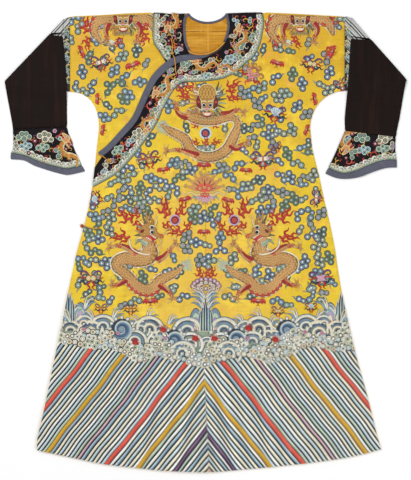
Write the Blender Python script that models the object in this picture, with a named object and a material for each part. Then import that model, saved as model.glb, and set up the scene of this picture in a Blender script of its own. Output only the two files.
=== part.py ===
"""Chinese dragon robe, laid flat on its back with the sleeves folded down over the front.

Every piece of cloth is drawn as the flat pattern that a maker would cut, given its thickness,
and then folded: first over the top line of shoulder and sleeve, then, for what lies beyond it,
over the slanted crease where the sleeve turns down. Lengths are millimetres until a mesh is
made. X runs to the wearer's left, Y up to the collar, Z away from the surface it lies on.
"""

import math

import bmesh
import bpy
import numpy as np

MM = 0.001

# ---- Cloth ----
WALL = 2.0  # silk, wadding and lining, quilted together
SEAM = 0.3  # between pieces that are sewn edge to edge
CREASED_SEAM = 0.35  # where the seam itself is folded over
LAYER = WALL + SEAM
OVERLAP_GAP = 0.9  # under the outer front, which lies loose on the underlap and its binding
LINING = 1.0
TRIM_RAISE = 0.6  # the binding stands this much above the cloth it edges
CUT = 42.0  # spacing of the cross-cuts that let a piece bend

# ---- Folds ----
TOP_AXIS = WALL + SEAM / 2  # height of the axis that the back folds round
TOP_ARC = math.pi * (SEAM + WALL) / 2
CREASE_AXIS = 2 * LAYER - SEAM / 2
CREASE_ARC = 7.2
ARC_CUTS = 5
DROP = 2 * LAYER  # the folded sleeve comes down this far past the cloth under it
DROP_CLEAR = 3.0
DROP_RUN = 45.0

# ---- Outline of the body ----
SHOULDER_END = {"left": 433.0, "right": -424.0}  # seam of upper sleeve and sleeve band
TOP_LINE = (  # x, y of the fold along shoulders and sleeves, from the right cuff to the left
    (-919, 738), (-883, 721), (-848, 707), (-810, 696), (-778, 688), (-659, 692),
    (-559, 691), (-481, 687), (-441, 696), (-424, 702), (-330, 706), (-237, 712),
    (-152, 714), (-106, 710), (-53, 712), (63, 712), (156, 715), (284, 710),
    (406, 703), (433, 702), (453, 701), (510, 693), (585, 689), (679, 684),
    (767, 682), (807, 677), (849, 689), (901, 705), (947, 722),
)  # fmt: skip
SIDES = (  # y, x of the right side, x of the left side
    (288, -341, 332), (207, -350, 353), (132, -361, 369), (57, -378, 387),
    (-18, -399, 402), (-93, -416, 413), (-168, -432, 426), (-243, -446, 442),
    (-317, -462, 459), (-392, -478, 479), (-467, -493, 500), (-542, -509, 519),
    (-608, -525, 535),
)  # fmt: skip
HEM = (  # x, y
    (-527, -648), (-436, -667), (-321, -691), (-209, -704), (-134, -712), (7, -717),
    (125, -708), (291, -692), (412, -676), (484, -662), (547, -645),
)  # fmt: skip
# side: (corner x, top y, bottom y, widest x, squareness of the rounded corner)
UNDERARM = {"left": (433, 472, 356, 325, 2.0), "right": (-424, 469, 356, -333, 2.3)}

# ---- Sleeves, in the flat pattern ----
BAND_END = {"left": 512.0, "right": -484.0}
SLEEVE_END = {"left": 807.0, "right": -778.0}
SLEEVE_LOW = {  # x, y of the lower edge, past the shoulder end
    "left": ((433, 472), (610, 504), (665, 510), (750, 514), (807, 519), (854, 514), (901, 504)),
    "right": ((-424, 469), (-600, 498), (-666, 506), (-745, 517), (-778, 520), (-832, 519), (-871, 509)),
}
CUFF_END = {  # x, y of the cuff's free end, from lower edge to top line, and the trim's width
    "left": ((901, 504, 23), (907, 538, 25), (924, 577, 24), (944, 615, 22), (955, 655, 18),
             (956, 689, 19), (947, 722, 20)),
    "right": ((-871, 509, 20), (-876, 550, 15), (-893, 580, 17), (-911, 626, 17), (-926, 672, 19),
              (-927, 694, 19), (-919, 738, 20)),
}  # fmt: skip
CREASE = {  # point on the axis, and the angle of the crease from +X
    "left": ((449.5, 699.8), -48.4),
    "right": ((-428.6, 704.4), -133.7),
}

# ---- Collar ----
NECK_EDGE = (  # x, y, width of the trim: left neck, neckline and lapel edge to the underarm
    (61, 712, 8), (67, 668, 8), (44, 609, 8), (-9, 587, 13), (-81, 583, 21), (-127, 561, 23),
    (-171, 516, 22), (-202, 453, 21), (-230, 391, 20), (-268, 347, 20), (-308, 303, 19),
    (-337, 280, 19),
)  # fmt: skip
COLLAR_EDGE = (  # x, y of the collar's outer edge, from the left shoulder to the underarm
    (178, 712), (181, 678), (163, 600), (116, 550), (60, 512), (-18, 500), (-81, 494),
    (-124, 434), (-152, 372), (-187, 319), (-230, 263), (-283, 210), (-351, 172),
)  # fmt: skip
INNER_NECK = (  # x, y, width of the trim: right neck, to where the lapel covers it
    (-50, 712, 9), (-62, 693, 9), (-63, 653, 8), (-59, 622, 8), (-49, 600, 8), (-40, 578, 8),
)  # fmt: skip
INNER_COLLAR = ((-165, 712), (-165, 631), (-149, 600), (-127, 566), (-112, 537))
BACK_NECK_DEPTH = 24.0
BACK_NECK_BOW = 1.5
BACK_BINDING_BOW = 1.25
BACK_TRIM = 7.0
BACK_COLLAR_DEPTH = 104.0
UNDERLAP_EDGE = -9.0  # x of the inner front's free edge
UNDERLAP_RISE = 16.0  # its hem and side stay this far inside the outer front's

# ---- Lining seen in the neck: centre, half width and the two half heights of its outline ----
LINING_AT = (2.0, 655.0)
LINING_SIZE = (82.0, 60.0, 76.0)
LINING_TURN = (14, -194)  # where on that oval the part under the front's edge starts and ends

# ---- Soft folds of the upper layers: x, y, direction in degrees, half length, half width, height ----
RIDGES = (
    (-230, 470, -28, 150, 46, 1.5),
    (245, 480, 22, 160, 50, 1.6),
    (-255, 60, 74, 210, 52, 1.2),
    (265, 90, -76, 230, 58, 1.3),
    (20, 300, 86, 170, 70, 1.1),
    (-90, -210, 82, 260, 66, 1.5),
    (150, -250, -80, 250, 60, 1.5),
    (-330, -400, 72, 200, 52, 1.3),
    (370, -380, -74, 220, 56, 1.4),
    (40, -480, 88, 180, 62, 1.0),
)
SLEEVE_RIDGES = (
    (-540, 470, -58, 150, 34, 1.8),
    (-500, 330, 84, 130, 40, 1.3),
    (540, 460, 60, 150, 34, 1.8),
    (495, 320, -86, 130, 40, 1.3),
)
RIDGE_FADE = 60.0

# ---- Closings ----
CORD = 1.6  # radius
NECK_CORD = ((-108, 634), (-105, 622), (-104, 606), (-105, 595))
NECK_LOOP = ((-102, 583), (-98, 574), (-95, 552), (-94, 534), (-91, 524))
NECK_KNOT = ((-105, 589), 5.0)
UNDERARM_CORD = ((-338, 274), (-326, 270), (-316, 264), (-311, 259))
UNDERARM_KNOT = ((-301, 253), 7.0)
SIDE_CORD = ((-379, 51), (-360, 45), (-343, 43), (-330, 44))
SIDE_BUTTON = ((-386.4, 51), 6.0)

COLOURS = {  # base colour, roughness, metallic
    "yellow silk": ((0.76, 0.45, 0.035), 0.5, 0.0),
    "dark collar": ((0.03, 0.018, 0.02), 0.6, 0.0),
    "grey binding": ((0.105, 0.105, 0.15), 0.45, 0.0),
    "gold lining": ((0.68, 0.33, 0.05), 0.55, 0.0),
    "striped band": ((0.42, 0.44, 0.42), 0.5, 0.0),
    "dark sleeve": ((0.012, 0.008, 0.007), 0.75, 0.0),
    "cuff silk": ((0.02, 0.013, 0.014), 0.6, 0.0),
    "yellow cord": ((0.65, 0.42, 0.06), 0.6, 0.0),
    "button": ((0.6, 0.2, 0.05), 0.35, 0.6),
}


# ---- Curves through the tables ----
def through(rows, steps=3):
    """Points of a smooth curve through the rows, each span cut into steps."""
    rows = np.array(rows, float)
    ends = np.vstack((2 * rows[0] - rows[1], rows, 2 * rows[-1] - rows[-2]))
    points = []
    for before, start, end, after in zip(ends, ends[1:], ends[2:], ends[3:]):
        for t in np.arange(steps) / steps:
            slope_in = (end - before) / 2
            slope_out = (after - start) / 2
            points.append(
                start * (1 + 2 * t) * (1 - t) ** 2 + end * t * t * (3 - 2 * t)
                + slope_in * t * (1 - t) ** 2 - slope_out * t * t * (1 - t)
            )  # fmt: skip
    return np.array(points + [rows[-1]])


def reader(curve, across=0, up=1):
    """A function that gives one column of a curve where another has the value given."""
    order = np.argsort(curve[:, across], kind="stable")
    known, wanted = curve[order, across], curve[order, up]
    return lambda value: float(np.interp(value, known, wanted))


def smooth(value):
    """0 below 0, 1 above 1, and an S curve between."""
    t = min(max(value, 0.0), 1.0)
    return t * t * (3 - 2 * t)


HEM_CURVE = through(HEM)
SIDE_CURVE = through(SIDES)
top = reader(through(TOP_LINE))
hem = reader(HEM_CURVE)
side_x = {"right": reader(SIDE_CURVE, 0, 1), "left": reader(SIDE_CURVE, 0, 2)}
LOW_CURVE = {side: through(rows) for side, rows in SLEEVE_LOW.items()}
low = {side: reader(curve) for side, curve in LOW_CURVE.items()}


def beside(rows, hand=1):
    """The curve through x, y, width rows, and the curve that width to its left, or to its right."""
    curve = through(rows)
    along = np.gradient(curve[:, :2], axis=0)
    along /= np.linalg.norm(along, axis=1)[:, None]
    across = np.stack((-along[:, 1], along[:, 0]), axis=1) * hand
    return curve[:, :2].tolist(), (curve[:, :2] + across * curve[:, 2:3]).tolist()


def back_arc(x_from, x_to, depth, bow=1.0, steps=16):
    """A curve hung from the top line between two points on it: half an ellipse, or with more bow a slimmer one."""
    middle = (x_from + x_to) / 2
    half = (x_to - x_from) / 2
    arc = []
    for i in range(steps + 1):
        angle = math.pi * i / steps
        x = middle - half * math.cos(angle)
        arc.append((x, top(x) - depth * abs(math.sin(angle)) ** bow))
    return arc


def underarm(side, steps=8):
    """The rounded corner from the sleeve's lower edge down to the side."""
    corner_x, high, bottom, widest, square = UNDERARM[side]
    points = []
    for i in range(steps + 1):
        angle = math.pi / 2 * i / steps
        out = math.sin(angle) ** (2 / square)
        down = 1 - math.cos(angle) ** (2 / square)
        points.append((corner_x + (widest - corner_x) * out, high - (high - bottom) * down))
    return points


def side_line(side, start=SIDES[0][0] + 1, inset=0.0):
    """Down a side from a height to the hem, moved in by the inset below the underarm."""
    column = 1 if side == "right" else 2
    inward = 1 if side == "right" else -1
    line = []
    for row in SIDE_CURVE:
        if row[0] < start:
            line.append((row[column] + inward * inset * smooth((start - row[0]) / 140), row[0]))
    return line


def hem_line(x_from, x_to, rise=0.0):
    """Along the hem between two points that lie left to right in the table."""
    inner = [(x, y + rise) for x, y in HEM_CURVE if x_from < x < x_to]
    return [(x_from, hem(x_from) + rise), *inner, (x_to, hem(x_to) + rise)]


def on_back(points):
    """Where points of the back lie in the flat pattern, past the top line."""
    return [(x, 2 * top(x) + TOP_ARC - y) for x, y in points]


def tube(edge):
    """The pattern of a tube cut in one, from its front edge that starts and ends on the top line."""
    return edge + on_back(edge)[::-1]


# ---- Patterns ----
TRIM_OUTSIDE, TRIM_INSIDE = beside(NECK_EDGE)
COLLAR_OUTSIDE = through(COLLAR_EDGE).tolist()
INNER_OUTSIDE, INNER_INSIDE = beside(INNER_NECK, hand=-1)
INNER_RING = through(INNER_COLLAR).tolist()
BACK_HOLE = back_arc(INNER_NECK[0][0], NECK_EDGE[0][0], BACK_NECK_DEPTH, BACK_NECK_BOW)
BACK_BINDING = back_arc(
    INNER_INSIDE[0][0], TRIM_INSIDE[0][0], BACK_NECK_DEPTH + BACK_TRIM, BACK_BINDING_BOW
)
BACK_RING = back_arc(INNER_COLLAR[0][0], COLLAR_EDGE[0][0], BACK_COLLAR_DEPTH)


def body_side(side, start=SIDES[0][0] + 1, inset=0.0):
    """From the seam with the sleeve band round the underarm and down to the hem's corner."""
    return [(SHOULDER_END[side], low[side](SHOULDER_END[side])), *underarm(side)[1:],
            *side_line(side, start, inset)]  # fmt: skip


def body_left():
    centre = reader(np.array(COLLAR_OUTSIDE))(0)
    down = body_side("left")
    front = [(SHOULDER_END["left"], top(SHOULDER_END["left"])), *down,
             *hem_line(0, HEM[-1][0])[::-1], (0, centre),
             *[p for p in COLLAR_OUTSIDE[::-1] if p[0] > 0]]  # fmt: skip
    back_neck = [p for p in BACK_RING if p[0] > 0]
    back = [(0, reader(np.array(BACK_RING))(0)), (0, hem(0)), *hem_line(0, HEM[-1][0])[1:],
            *down[::-1], front[0]]  # fmt: skip
    return front + on_back(back_neck[::-1] + back)


def body_right():
    down = body_side("right")
    inner = body_side("right", inset=UNDERLAP_RISE)
    hem_left = inner[-1][0]
    front = [(SHOULDER_END["right"], top(SHOULDER_END["right"])), *inner,
             *hem_line(hem_left, UNDERLAP_EDGE, UNDERLAP_RISE),
             (UNDERLAP_EDGE, INNER_NECK[-1][1] - 18), INNER_NECK[-1][:2],
             *INNER_RING[::-1]]  # fmt: skip
    back_neck = [p for p in BACK_RING if p[0] < 0]
    back = [(0, reader(np.array(BACK_RING))(0)), *hem_line(HEM[0][0], 0)[::-1],
            *down[::-1], front[0]]  # fmt: skip
    return front + on_back(back_neck + back)


def front_overlap():
    centre = reader(np.array(COLLAR_OUTSIDE))(0)
    lapel = [p for p in COLLAR_OUTSIDE if p[0] < 0]
    return [(0, centre), *lapel, *side_line("right", COLLAR_EDGE[-1][1] - 4), *hem_line(HEM[0][0], 0)]


def collar_outer():
    back_out = [p for p in BACK_RING if p[0] > 0]
    back_in = [p for p in BACK_BINDING if p[0] > 0]
    ends = [(0, reader(np.array(line))(0)) for line in (BACK_BINDING, BACK_RING)]
    edge = [p for p in side_line("right") if COLLAR_EDGE[-1][1] + 4 < p[1] < TRIM_INSIDE[-1][1] - 4]
    front = COLLAR_OUTSIDE + edge[::-1] + TRIM_INSIDE[::-1]
    return on_back([*ends, *back_out]) + front + on_back(back_in[::-1])


def collar_inner():
    back_out = [p for p in BACK_RING if p[0] < 0]
    back_in = [p for p in BACK_BINDING if p[0] < 0]
    ends = [(0, reader(np.array(line))(0)) for line in (BACK_RING, BACK_BINDING)]
    return INNER_RING[::-1] + on_back([*back_out, *ends, *back_in[::-1]]) + INNER_INSIDE


def neck_trim_outer():
    hole = [p for p in BACK_HOLE if p[0] > 0]
    binding = [p for p in BACK_BINDING if p[0] > 0]
    ends = [(0, reader(np.array(line))(0)) for line in (BACK_HOLE, BACK_BINDING)]
    return on_back([*hole[::-1], *ends, *binding]) + TRIM_INSIDE + TRIM_OUTSIDE[::-1]


def neck_trim_inner():
    hole = [p for p in BACK_HOLE if p[0] < 0]
    binding = [p for p in BACK_BINDING if p[0] < 0]
    ends = [(0, reader(np.array(line))(0)) for line in (BACK_BINDING, BACK_HOLE)]
    return INNER_INSIDE[::-1] + on_back([*binding, *ends, *hole[::-1]]) + INNER_OUTSIDE


def back_lining(steps=24):
    """Its upper edge follows the back binding, and the rest is an ellipse under the front's edge."""
    at_x, at_y = LINING_AT
    half, above, below = LINING_SIZE
    upper = [p for p in BACK_BINDING if abs(p[0] - at_x) < 0.6 * half]
    round_it = []
    for i in range(steps + 1):
        angle = math.radians(LINING_TURN[0] + (LINING_TURN[1] - LINING_TURN[0]) * i / steps)
        tall = above if math.sin(angle) > 0 else below
        round_it.append((at_x + half * math.cos(angle), at_y + tall * math.sin(angle)))
    return upper + round_it


def band_edge(side):
    start, end = SHOULDER_END[side], BAND_END[side]
    return [(start, top(start)), (start, low[side](start)), (end, low[side](end)), (end, top(end))]


def sleeve_edge(side):
    start, end = BAND_END[side], SLEEVE_END[side]
    lower = [(x, y) for x, y in LOW_CURVE[side] if min(start, end) < x < max(start, end)]
    return [(start, top(start)), (start, low[side](start)), *lower, (end, low[side](end)), (end, top(end))]


def cuff_lines(side):
    """The cuff's free end and the line where its binding starts, both from lower edge to top line."""
    lines = beside(CUFF_END[side], hand=1 if side == "left" else -1)
    return [[(x, min(y, top(x))) for x, y in line] for line in lines]


def cuff_edge(side):
    start = SLEEVE_END[side]
    inner = cuff_lines(side)[1]
    stop = inner[0][0]
    lower = [(x, y) for x, y in LOW_CURVE[side] if min(start, stop) + 4 < x < max(start, stop) - 4]
    return [(start, top(start)), (start, low[side](start)), *lower, *inner]


def cuff_trim_edge(side):
    end, inner = cuff_lines(side)
    return inner[::-1] + end


# ---- Folding ----
def ridge_height(x, y, rows):
    total = 0.0
    for at_x, at_y, turn, length, width, height in rows:
        c, s = math.cos(math.radians(turn)), math.sin(math.radians(turn))
        along = ((x - at_x) * c + (y - at_y) * s) / length
        across = ((y - at_y) * c - (x - at_x) * s) / width
        total += height * math.exp(-along * along - across * across)
    return total


def edge_distance(x, y):
    """How far a point of the front lies inside the body's outline."""
    body = min(x - side_x["right"](y), side_x["left"](y) - x)
    sleeve = min(y - UNDERARM["left"][1], SHOULDER_END["left"] - x, x - SHOULDER_END["right"])
    return min(top(x) - y, y - hem(x), max(body, sleeve))


def lining_lift(x, y):
    """The front lies on the lining round the neck, but not where it folds over the shoulder."""
    above, below = LINING_SIZE[1], LINING_SIZE[2]
    out = (x - LINING_AT[0]) / LINING_SIZE[0]
    up = (y - LINING_AT[1]) / (above if y > LINING_AT[1] else below)
    near = 1 - smooth((math.hypot(out, up) - 1.1) / 0.6)
    return (LINING + SEAM) * near * smooth((top(x) - y - 4) / 14)


def front_height(x, y):
    return ridge_height(x, y, RIDGES) * smooth(edge_distance(x, y) / RIDGE_FADE) + lining_lift(x, y)


def overlap_height(x, y):
    """The outer front lies on the underlap right of the centre seam, and comes down left of it."""
    return front_height(x, y) + (WALL + OVERLAP_GAP) * (1 - smooth((x - 4) / 50))


def fold_top(x, v, z):
    past = v - top(x)
    if past <= 0:
        return x, v, z
    radius = z - TOP_AXIS
    turn = math.pi * min(past / TOP_ARC, 1)
    y = top(x) + radius * math.sin(turn) - max(past - TOP_ARC, 0)
    return x, y, TOP_AXIS + radius * math.cos(turn)


def past_crease(x, y, side):
    """How far a point lies past the crease, and the way out from it."""
    (at_x, at_y), degrees = CREASE[side]
    turn = math.radians(degrees)
    out_x = math.copysign(math.sin(turn), math.cos(turn))
    out_y = abs(math.cos(turn))
    return (x - at_x) * out_x + (y - at_y) * out_y, out_x, out_y


def fold_crease(x, y, z, side):
    past, out_x, out_y = past_crease(x, y, side)
    if past <= 0:
        return x, y, z
    radius = CREASE_AXIS - z
    bend = math.pi * min(past / CREASE_ARC, 1)
    shift = radius * math.sin(bend) - max(past - CREASE_ARC, 0) - past
    return x + shift * out_x, y + shift * out_y, CREASE_AXIS - radius * math.cos(bend)


def beyond_under(x, v, side):
    """How far the folded sleeve reaches past the lower edge of the sleeve it lies on."""
    folded_x, y, _ = fold_crease(*fold_top(x, v, LAYER + WALL / 2), side)
    return low[side](folded_x) - DROP_CLEAR - y


def place_body(height, raised=0.0):
    """Where a point of the pattern ends up. Skin 0 is the cloth's inside, skin 1 its outside."""

    def place(x, v, skin):
        past = v - top(x)
        lift = height(x, v) if past < 0 else 0.0
        z = LAYER + lift + skin * (WALL + raised * smooth(-past / 20))
        return fold_top(x, v, z)

    return place


def place_sleeve(side, raised=0.0):
    def place(x, v, skin):
        into_back = v - top(x) - TOP_ARC
        flat_y = top(x) - max(into_back, 0)
        folded_x, y, z = fold_crease(*fold_top(x, v, LAYER + skin * WALL), side)
        if z < CREASE_AXIS:
            return folded_x, y, z
        inside = min(into_back, flat_y - low[side](x), past_crease(x, flat_y, side)[0])
        z += ridge_height(folded_x, y, SLEEVE_RIDGES) * smooth(inside / RIDGE_FADE)
        z += raised * skin * smooth(into_back / 20)
        z -= DROP * smooth(beyond_under(x, v, side) / DROP_RUN)
        return folded_x, y, z

    return place


def place_lining(x, y, skin):
    return x, y, LAYER + skin * LINING


# ---- Cloth from a pattern ----
def inset(outline, amount):
    """The closed outline moved inwards, with points that nearly coincide left out."""
    kept = [outline[0]]
    for point in outline[1:]:
        if math.dist(point, kept[-1]) > 1.2:
            kept.append(point)
    if math.dist(kept[-1], kept[0]) < 1.2:
        kept.pop()
    points = np.array(kept, float)
    after = np.roll(points, -1, axis=0)
    area = (points[:, 0] * after[:, 1] - after[:, 0] * points[:, 1]).sum() / 2
    if area < 0:
        points = points[::-1]
        after = np.roll(points, -1, axis=0)
    side = after - points
    side /= np.linalg.norm(side, axis=1)[:, None]
    normal = np.stack((-side[:, 1], side[:, 0]), axis=1)
    before = np.roll(normal, 1, axis=0)
    meet = np.maximum(1 + (normal * before).sum(axis=1), 0.35)[:, None]
    return points + amount * (normal + before) / meet


def crossing(level_of, level, start, end, halvings=12):
    """How far along from start to end the function passes the level."""
    low_end, high_end = 0.0, 1.0
    rising = level_of(*start) < level
    for _ in range(halvings):
        middle = (low_end + high_end) / 2
        at = level_of(*(a + (b - a) * middle for a, b in zip(start, end)))
        if (at < level) == rising:
            low_end = middle
        else:
            high_end = middle
    return (low_end + high_end) / 2


def cut_along(bm, level_of, levels):
    """Cuts the flat faces along the lines where a function of x and v has each of the levels."""
    value = {vert: level_of(vert.co.x, vert.co.y) for vert in bm.verts}
    for level in levels:
        on_line = {vert for vert, at in value.items() if abs(at - level) < 1e-4}
        for edge in list(bm.edges):
            a, b = edge.verts
            if a in on_line or b in on_line or (value[a] - level) * (value[b] - level) > 0:
                continue
            share = crossing(level_of, level, a.co.xy, b.co.xy)
            _, vert = bmesh.utils.edge_split(edge, a, share)
            value[vert] = level_of(vert.co.x, vert.co.y)
            on_line.add(vert)
        for face in list(bm.faces):
            ends = sorted((v for v in face.verts if v in on_line), key=lambda v: (v.co.x, v.co.y))
            for a, b in zip(ends[::2], ends[1::2]):
                shared = [f for f in a.link_faces if f in b.link_faces]
                if bm.edges.get((a, b)) is None and shared:
                    bmesh.utils.face_split(shared[0], a, b)


def split_walls(bm):
    """Halves each four-sided edge face the same way on both pieces of a seam, so that they fit."""
    for wall in [face for face in bm.faces if len(face.verts) == 4]:
        lowest = min((v for v in wall.verts if v.co.z < 0.5), key=lambda v: (v.co.y, v.co.x))
        highest = max((v for v in wall.verts if v.co.z > 0.5), key=lambda v: (v.co.y, v.co.x))
        bmesh.utils.face_split(wall, lowest, highest)


def new_object(name, data, look):
    colour, roughness, metallic = COLOURS[look]
    material = bpy.data.materials.new(name)
    material.use_nodes = True
    shader = material.node_tree.nodes["Principled BSDF"]
    shader.inputs["Base Color"].default_value = (*colour, 1)
    shader.inputs["Roughness"].default_value = roughness
    shader.inputs["Metallic"].default_value = metallic
    data.materials.append(material)
    piece = bpy.data.objects.new(name, data)
    bpy.data.collections[ROBE].objects.link(piece)
    return piece


def cloth(name, outline, place, look, crease=None):
    """One piece of cloth: its outline as a flat face, cut across, made thick, and folded."""
    bm = bmesh.new()
    gap = CREASED_SEAM if crease else SEAM
    bm.faces.new([bm.verts.new((x, v, 0)) for x, v in inset(outline, gap / 2)])
    across = [vert.co.x for vert in bm.verts]
    for step in range(math.ceil(min(across) / CUT), math.floor(max(across) / CUT) + 1):
        bmesh.ops.bisect_plane(
            bm, geom=bm.verts[:] + bm.edges[:] + bm.faces[:],
            plane_co=(step * CUT, 0, 0), plane_no=(1, 0, 0),
        )  # fmt: skip
    past = [vert.co.y - top(vert.co.x) for vert in bm.verts]
    levels = [step * CUT for step in range(math.ceil(min(past) / CUT), 0)] + [-CUT / 2]
    if max(past) > TOP_ARC:
        levels += [TOP_ARC * i / ARC_CUTS for i in range(ARC_CUTS + 1)]
    if crease:
        levels += [TOP_ARC + step * CUT for step in range(1, math.ceil(max(past) / CUT))]
    cut_along(bm, lambda x, v: v - top(x), levels)
    if crease:
        arcs = [CREASE_ARC * i / ARC_CUTS for i in range(ARC_CUTS + 1)]
        cut_along(bm, lambda x, v: past_crease(x, min(v, 2 * top(x) + TOP_ARC - v), crease)[0], arcs)
        cut_along(bm, lambda x, v: beyond_under(x, v, crease), [DROP_RUN * i / 3 for i in range(4)])
    bmesh.ops.triangulate(bm, faces=bm.faces[:])
    made = bmesh.ops.extrude_face_region(bm, geom=bm.faces[:], use_keep_orig=True)
    for item in made["geom"]:
        if isinstance(item, bmesh.types.BMVert):
            item.co.z = 1
    bmesh.ops.recalc_face_normals(bm, faces=bm.faces[:])
    split_walls(bm)
    for vert in bm.verts:
        vert.co = [value * MM for value in place(*vert.co)]
    mesh = bpy.data.meshes.new(name)
    bm.to_mesh(mesh)
    bm.free()
    return new_object(name, mesh, look)


# ---- Closings ----
def surface(x, y):
    """The top of the cloth, with the raised binding counted a little past its edges."""
    below_edge = reader(np.array(TRIM_OUTSIDE[::-1]))(x) - y
    if below_edge < -9:
        return LAYER + WALL + front_height(x, y)
    return LAYER + WALL + overlap_height(x, y) + TRIM_RAISE * (below_edge < 32)


def cord(name, route, look="yellow cord"):
    curve = bpy.data.curves.new(name, "CURVE")
    curve.dimensions = "3D"
    curve.bevel_depth = CORD * MM
    curve.bevel_resolution = 1
    curve.use_fill_caps = True
    spline = curve.splines.new("POLY")
    points = through([(x, y, surface(x, y) + CORD + SEAM) for x, y in route], steps=2)
    spline.points.add(len(points) - 1)
    for point, at in zip(spline.points, points):
        point.co = (*(value * MM for value in at), 1)
    return new_object(name, curve, look)


def ball(name, x, y, z, radius, look):
    bm = bmesh.new()
    bmesh.ops.create_uvsphere(bm, u_segments=14, v_segments=9, radius=radius * MM)
    mesh = bpy.data.meshes.new(name)
    bm.to_mesh(mesh)
    bm.free()
    piece = new_object(name, mesh, look)
    piece.location = (x * MM, y * MM, z * MM)
    return piece


def closings():
    (x, y), radius = NECK_KNOT
    cord("neck_cord", NECK_CORD)
    cord("neck_loop", NECK_LOOP)
    ball("neck_knot", x, y, surface(x, y) + radius + SEAM, radius, "yellow cord")
    (x, y), radius = UNDERARM_KNOT
    cord("underarm_cord", UNDERARM_CORD)
    ball("underarm_knot", x, y, surface(x, y) + radius + SEAM, radius, "yellow cord")
    (x, y), radius = SIDE_BUTTON
    cord("side_cord", SIDE_CORD)
    ball("side_button", x, y, radius, radius, "button")


# ---- The robe ----
ROBE = "chinese_dragon_robe"


def clear_scene():
    for piece in list(bpy.data.objects):
        bpy.data.objects.remove(piece, do_unlink=True)
    collection = bpy.data.collections.new(ROBE)
    bpy.context.scene.collection.children.link(collection)


def main():
    clear_scene()
    on_body = place_body(front_height)
    on_overlap = place_body(overlap_height)
    cloth("body_left", body_left(), on_overlap, "yellow silk")
    cloth("body_right", body_right(), on_body, "yellow silk")
    cloth("front_overlap", front_overlap(), on_overlap, "yellow silk")
    cloth("collar_outer", collar_outer(), on_overlap, "dark collar")
    cloth("collar_inner", collar_inner(), on_body, "dark collar")
    cloth("neck_trim_outer", neck_trim_outer(), place_body(overlap_height, TRIM_RAISE), "grey binding")
    cloth("neck_trim_inner", neck_trim_inner(), place_body(front_height, TRIM_RAISE), "grey binding")
    cloth("back_lining", back_lining(), place_lining, "gold lining")
    for side in ("left", "right"):
        on_sleeve = place_sleeve(side)
        for name, edge, look in (
            ("sleeve_band", band_edge(side), "striped band"),
            ("sleeve", sleeve_edge(side), "dark sleeve"),
            ("cuff", cuff_edge(side), "cuff silk"),
        ):
            cloth(f"{name}_{side}", tube(edge), on_sleeve, look, crease=side)
        cloth(f"cuff_trim_{side}", tube(cuff_trim_edge(side)), place_sleeve(side, TRIM_RAISE),
              "grey binding", crease=side)  # fmt: skip
    closings()


main()
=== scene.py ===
"""Chinese dragon robe, laid flat on its back with the sleeves folded down over the front.

The cloth is cut from the same flat patterns as the solids, on a finer grid, and folded the same
way: first over the top line of shoulder and sleeve, then over the slanted crease of the sleeve.
The needlework is drawn flat in millimetres, each shape at its height above the cloth, and is then
laid on the panel that it decorates. X runs to the wearer's left, Y up to the collar, Z upwards.
"""

import math

import bpy
import numpy as np
from bpy.props import FloatProperty, FloatVectorProperty, IntProperty, PointerProperty
from mathutils import Matrix, Vector
from mathutils.geometry import delaunay_2d_cdt


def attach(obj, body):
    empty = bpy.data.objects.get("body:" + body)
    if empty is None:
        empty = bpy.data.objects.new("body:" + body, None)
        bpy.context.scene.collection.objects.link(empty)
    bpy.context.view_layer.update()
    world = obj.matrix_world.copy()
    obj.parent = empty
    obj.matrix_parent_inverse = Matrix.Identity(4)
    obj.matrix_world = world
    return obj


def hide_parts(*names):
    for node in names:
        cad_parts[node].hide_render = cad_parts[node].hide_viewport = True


bl_info = {
    "name": "Chinese Dragon Robe",
    "version": (1, 0, 0),
    "blender": (4, 5, 0),
    "location": "3D View > Sidebar > Robe",
    "description": "Makes an embroidered silk court robe, laid flat with its sleeves folded",
    "category": "Add Mesh",
}

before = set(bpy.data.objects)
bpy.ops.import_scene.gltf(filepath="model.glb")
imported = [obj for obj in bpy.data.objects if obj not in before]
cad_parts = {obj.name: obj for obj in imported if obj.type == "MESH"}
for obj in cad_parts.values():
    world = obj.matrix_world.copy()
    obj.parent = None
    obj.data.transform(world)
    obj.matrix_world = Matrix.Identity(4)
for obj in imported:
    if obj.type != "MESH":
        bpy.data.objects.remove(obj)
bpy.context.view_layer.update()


def srgb(red, green, blue):
    """A colour as seen on a screen, 0 to 255, as the linear values that shaders take."""
    return tuple(
        c / 12.92 if c <= 0.04045 else ((c + 0.055) / 1.055) ** 2.4
        for c in (red / 255, green / 255, blue / 255)
    )


def colour_property(name, description, *colour):
    return FloatVectorProperty(
        name=name, description=description, default=srgb(*colour), subtype="COLOR", size=3, min=0, max=1
    )


def length_property(name, description, default, low, high):
    return FloatProperty(
        name=name, description=description, default=default, min=low, max=high, unit="LENGTH"
    )


class RobeCloth(bpy.types.PropertyGroup):
    """Sizes of the cloth as it is modelled."""

    grid: length_property("Grid", "Distance between the points of the cloth", 0.009, 0.004, 0.04)
    roll: length_property("Turned edge", "How round the turned edges are", 0.0007, 0, 0.001)
    crumple: length_property("Crumple", "Height of the fine unevenness of worn silk", 0.0005, 0, 0.002)


class RobeSilk(bpy.types.PropertyGroup):
    """Colours of the silks."""

    yellow: colour_property("Yellow", "Ground of the body and upper sleeves", 222, 188, 34)
    gold: colour_property("Gold", "The yellow where it is deeper, over the shoulders", 206, 156, 24)
    lining: colour_property("Lining", "Plain silk inside the neck", 190, 130, 20)
    collar: colour_property("Collar", "Blue-black ground of collar and cuffs", 17, 12, 17)
    binding: colour_property("Binding", "Grey satin of the bindings", 84, 86, 102)
    sleeve: colour_property("Sleeve", "Plain dark silk of the sleeves", 24, 15, 12)
    silver: colour_property("Silver", "Pale stripes of the sleeve bands", 212, 214, 208)
    cord: colour_property("Cord", "Yellow silk cord of the closings", 214, 160, 48)
    button: colour_property("Button", "Gilt of the side button", 190, 92, 40)


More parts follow.
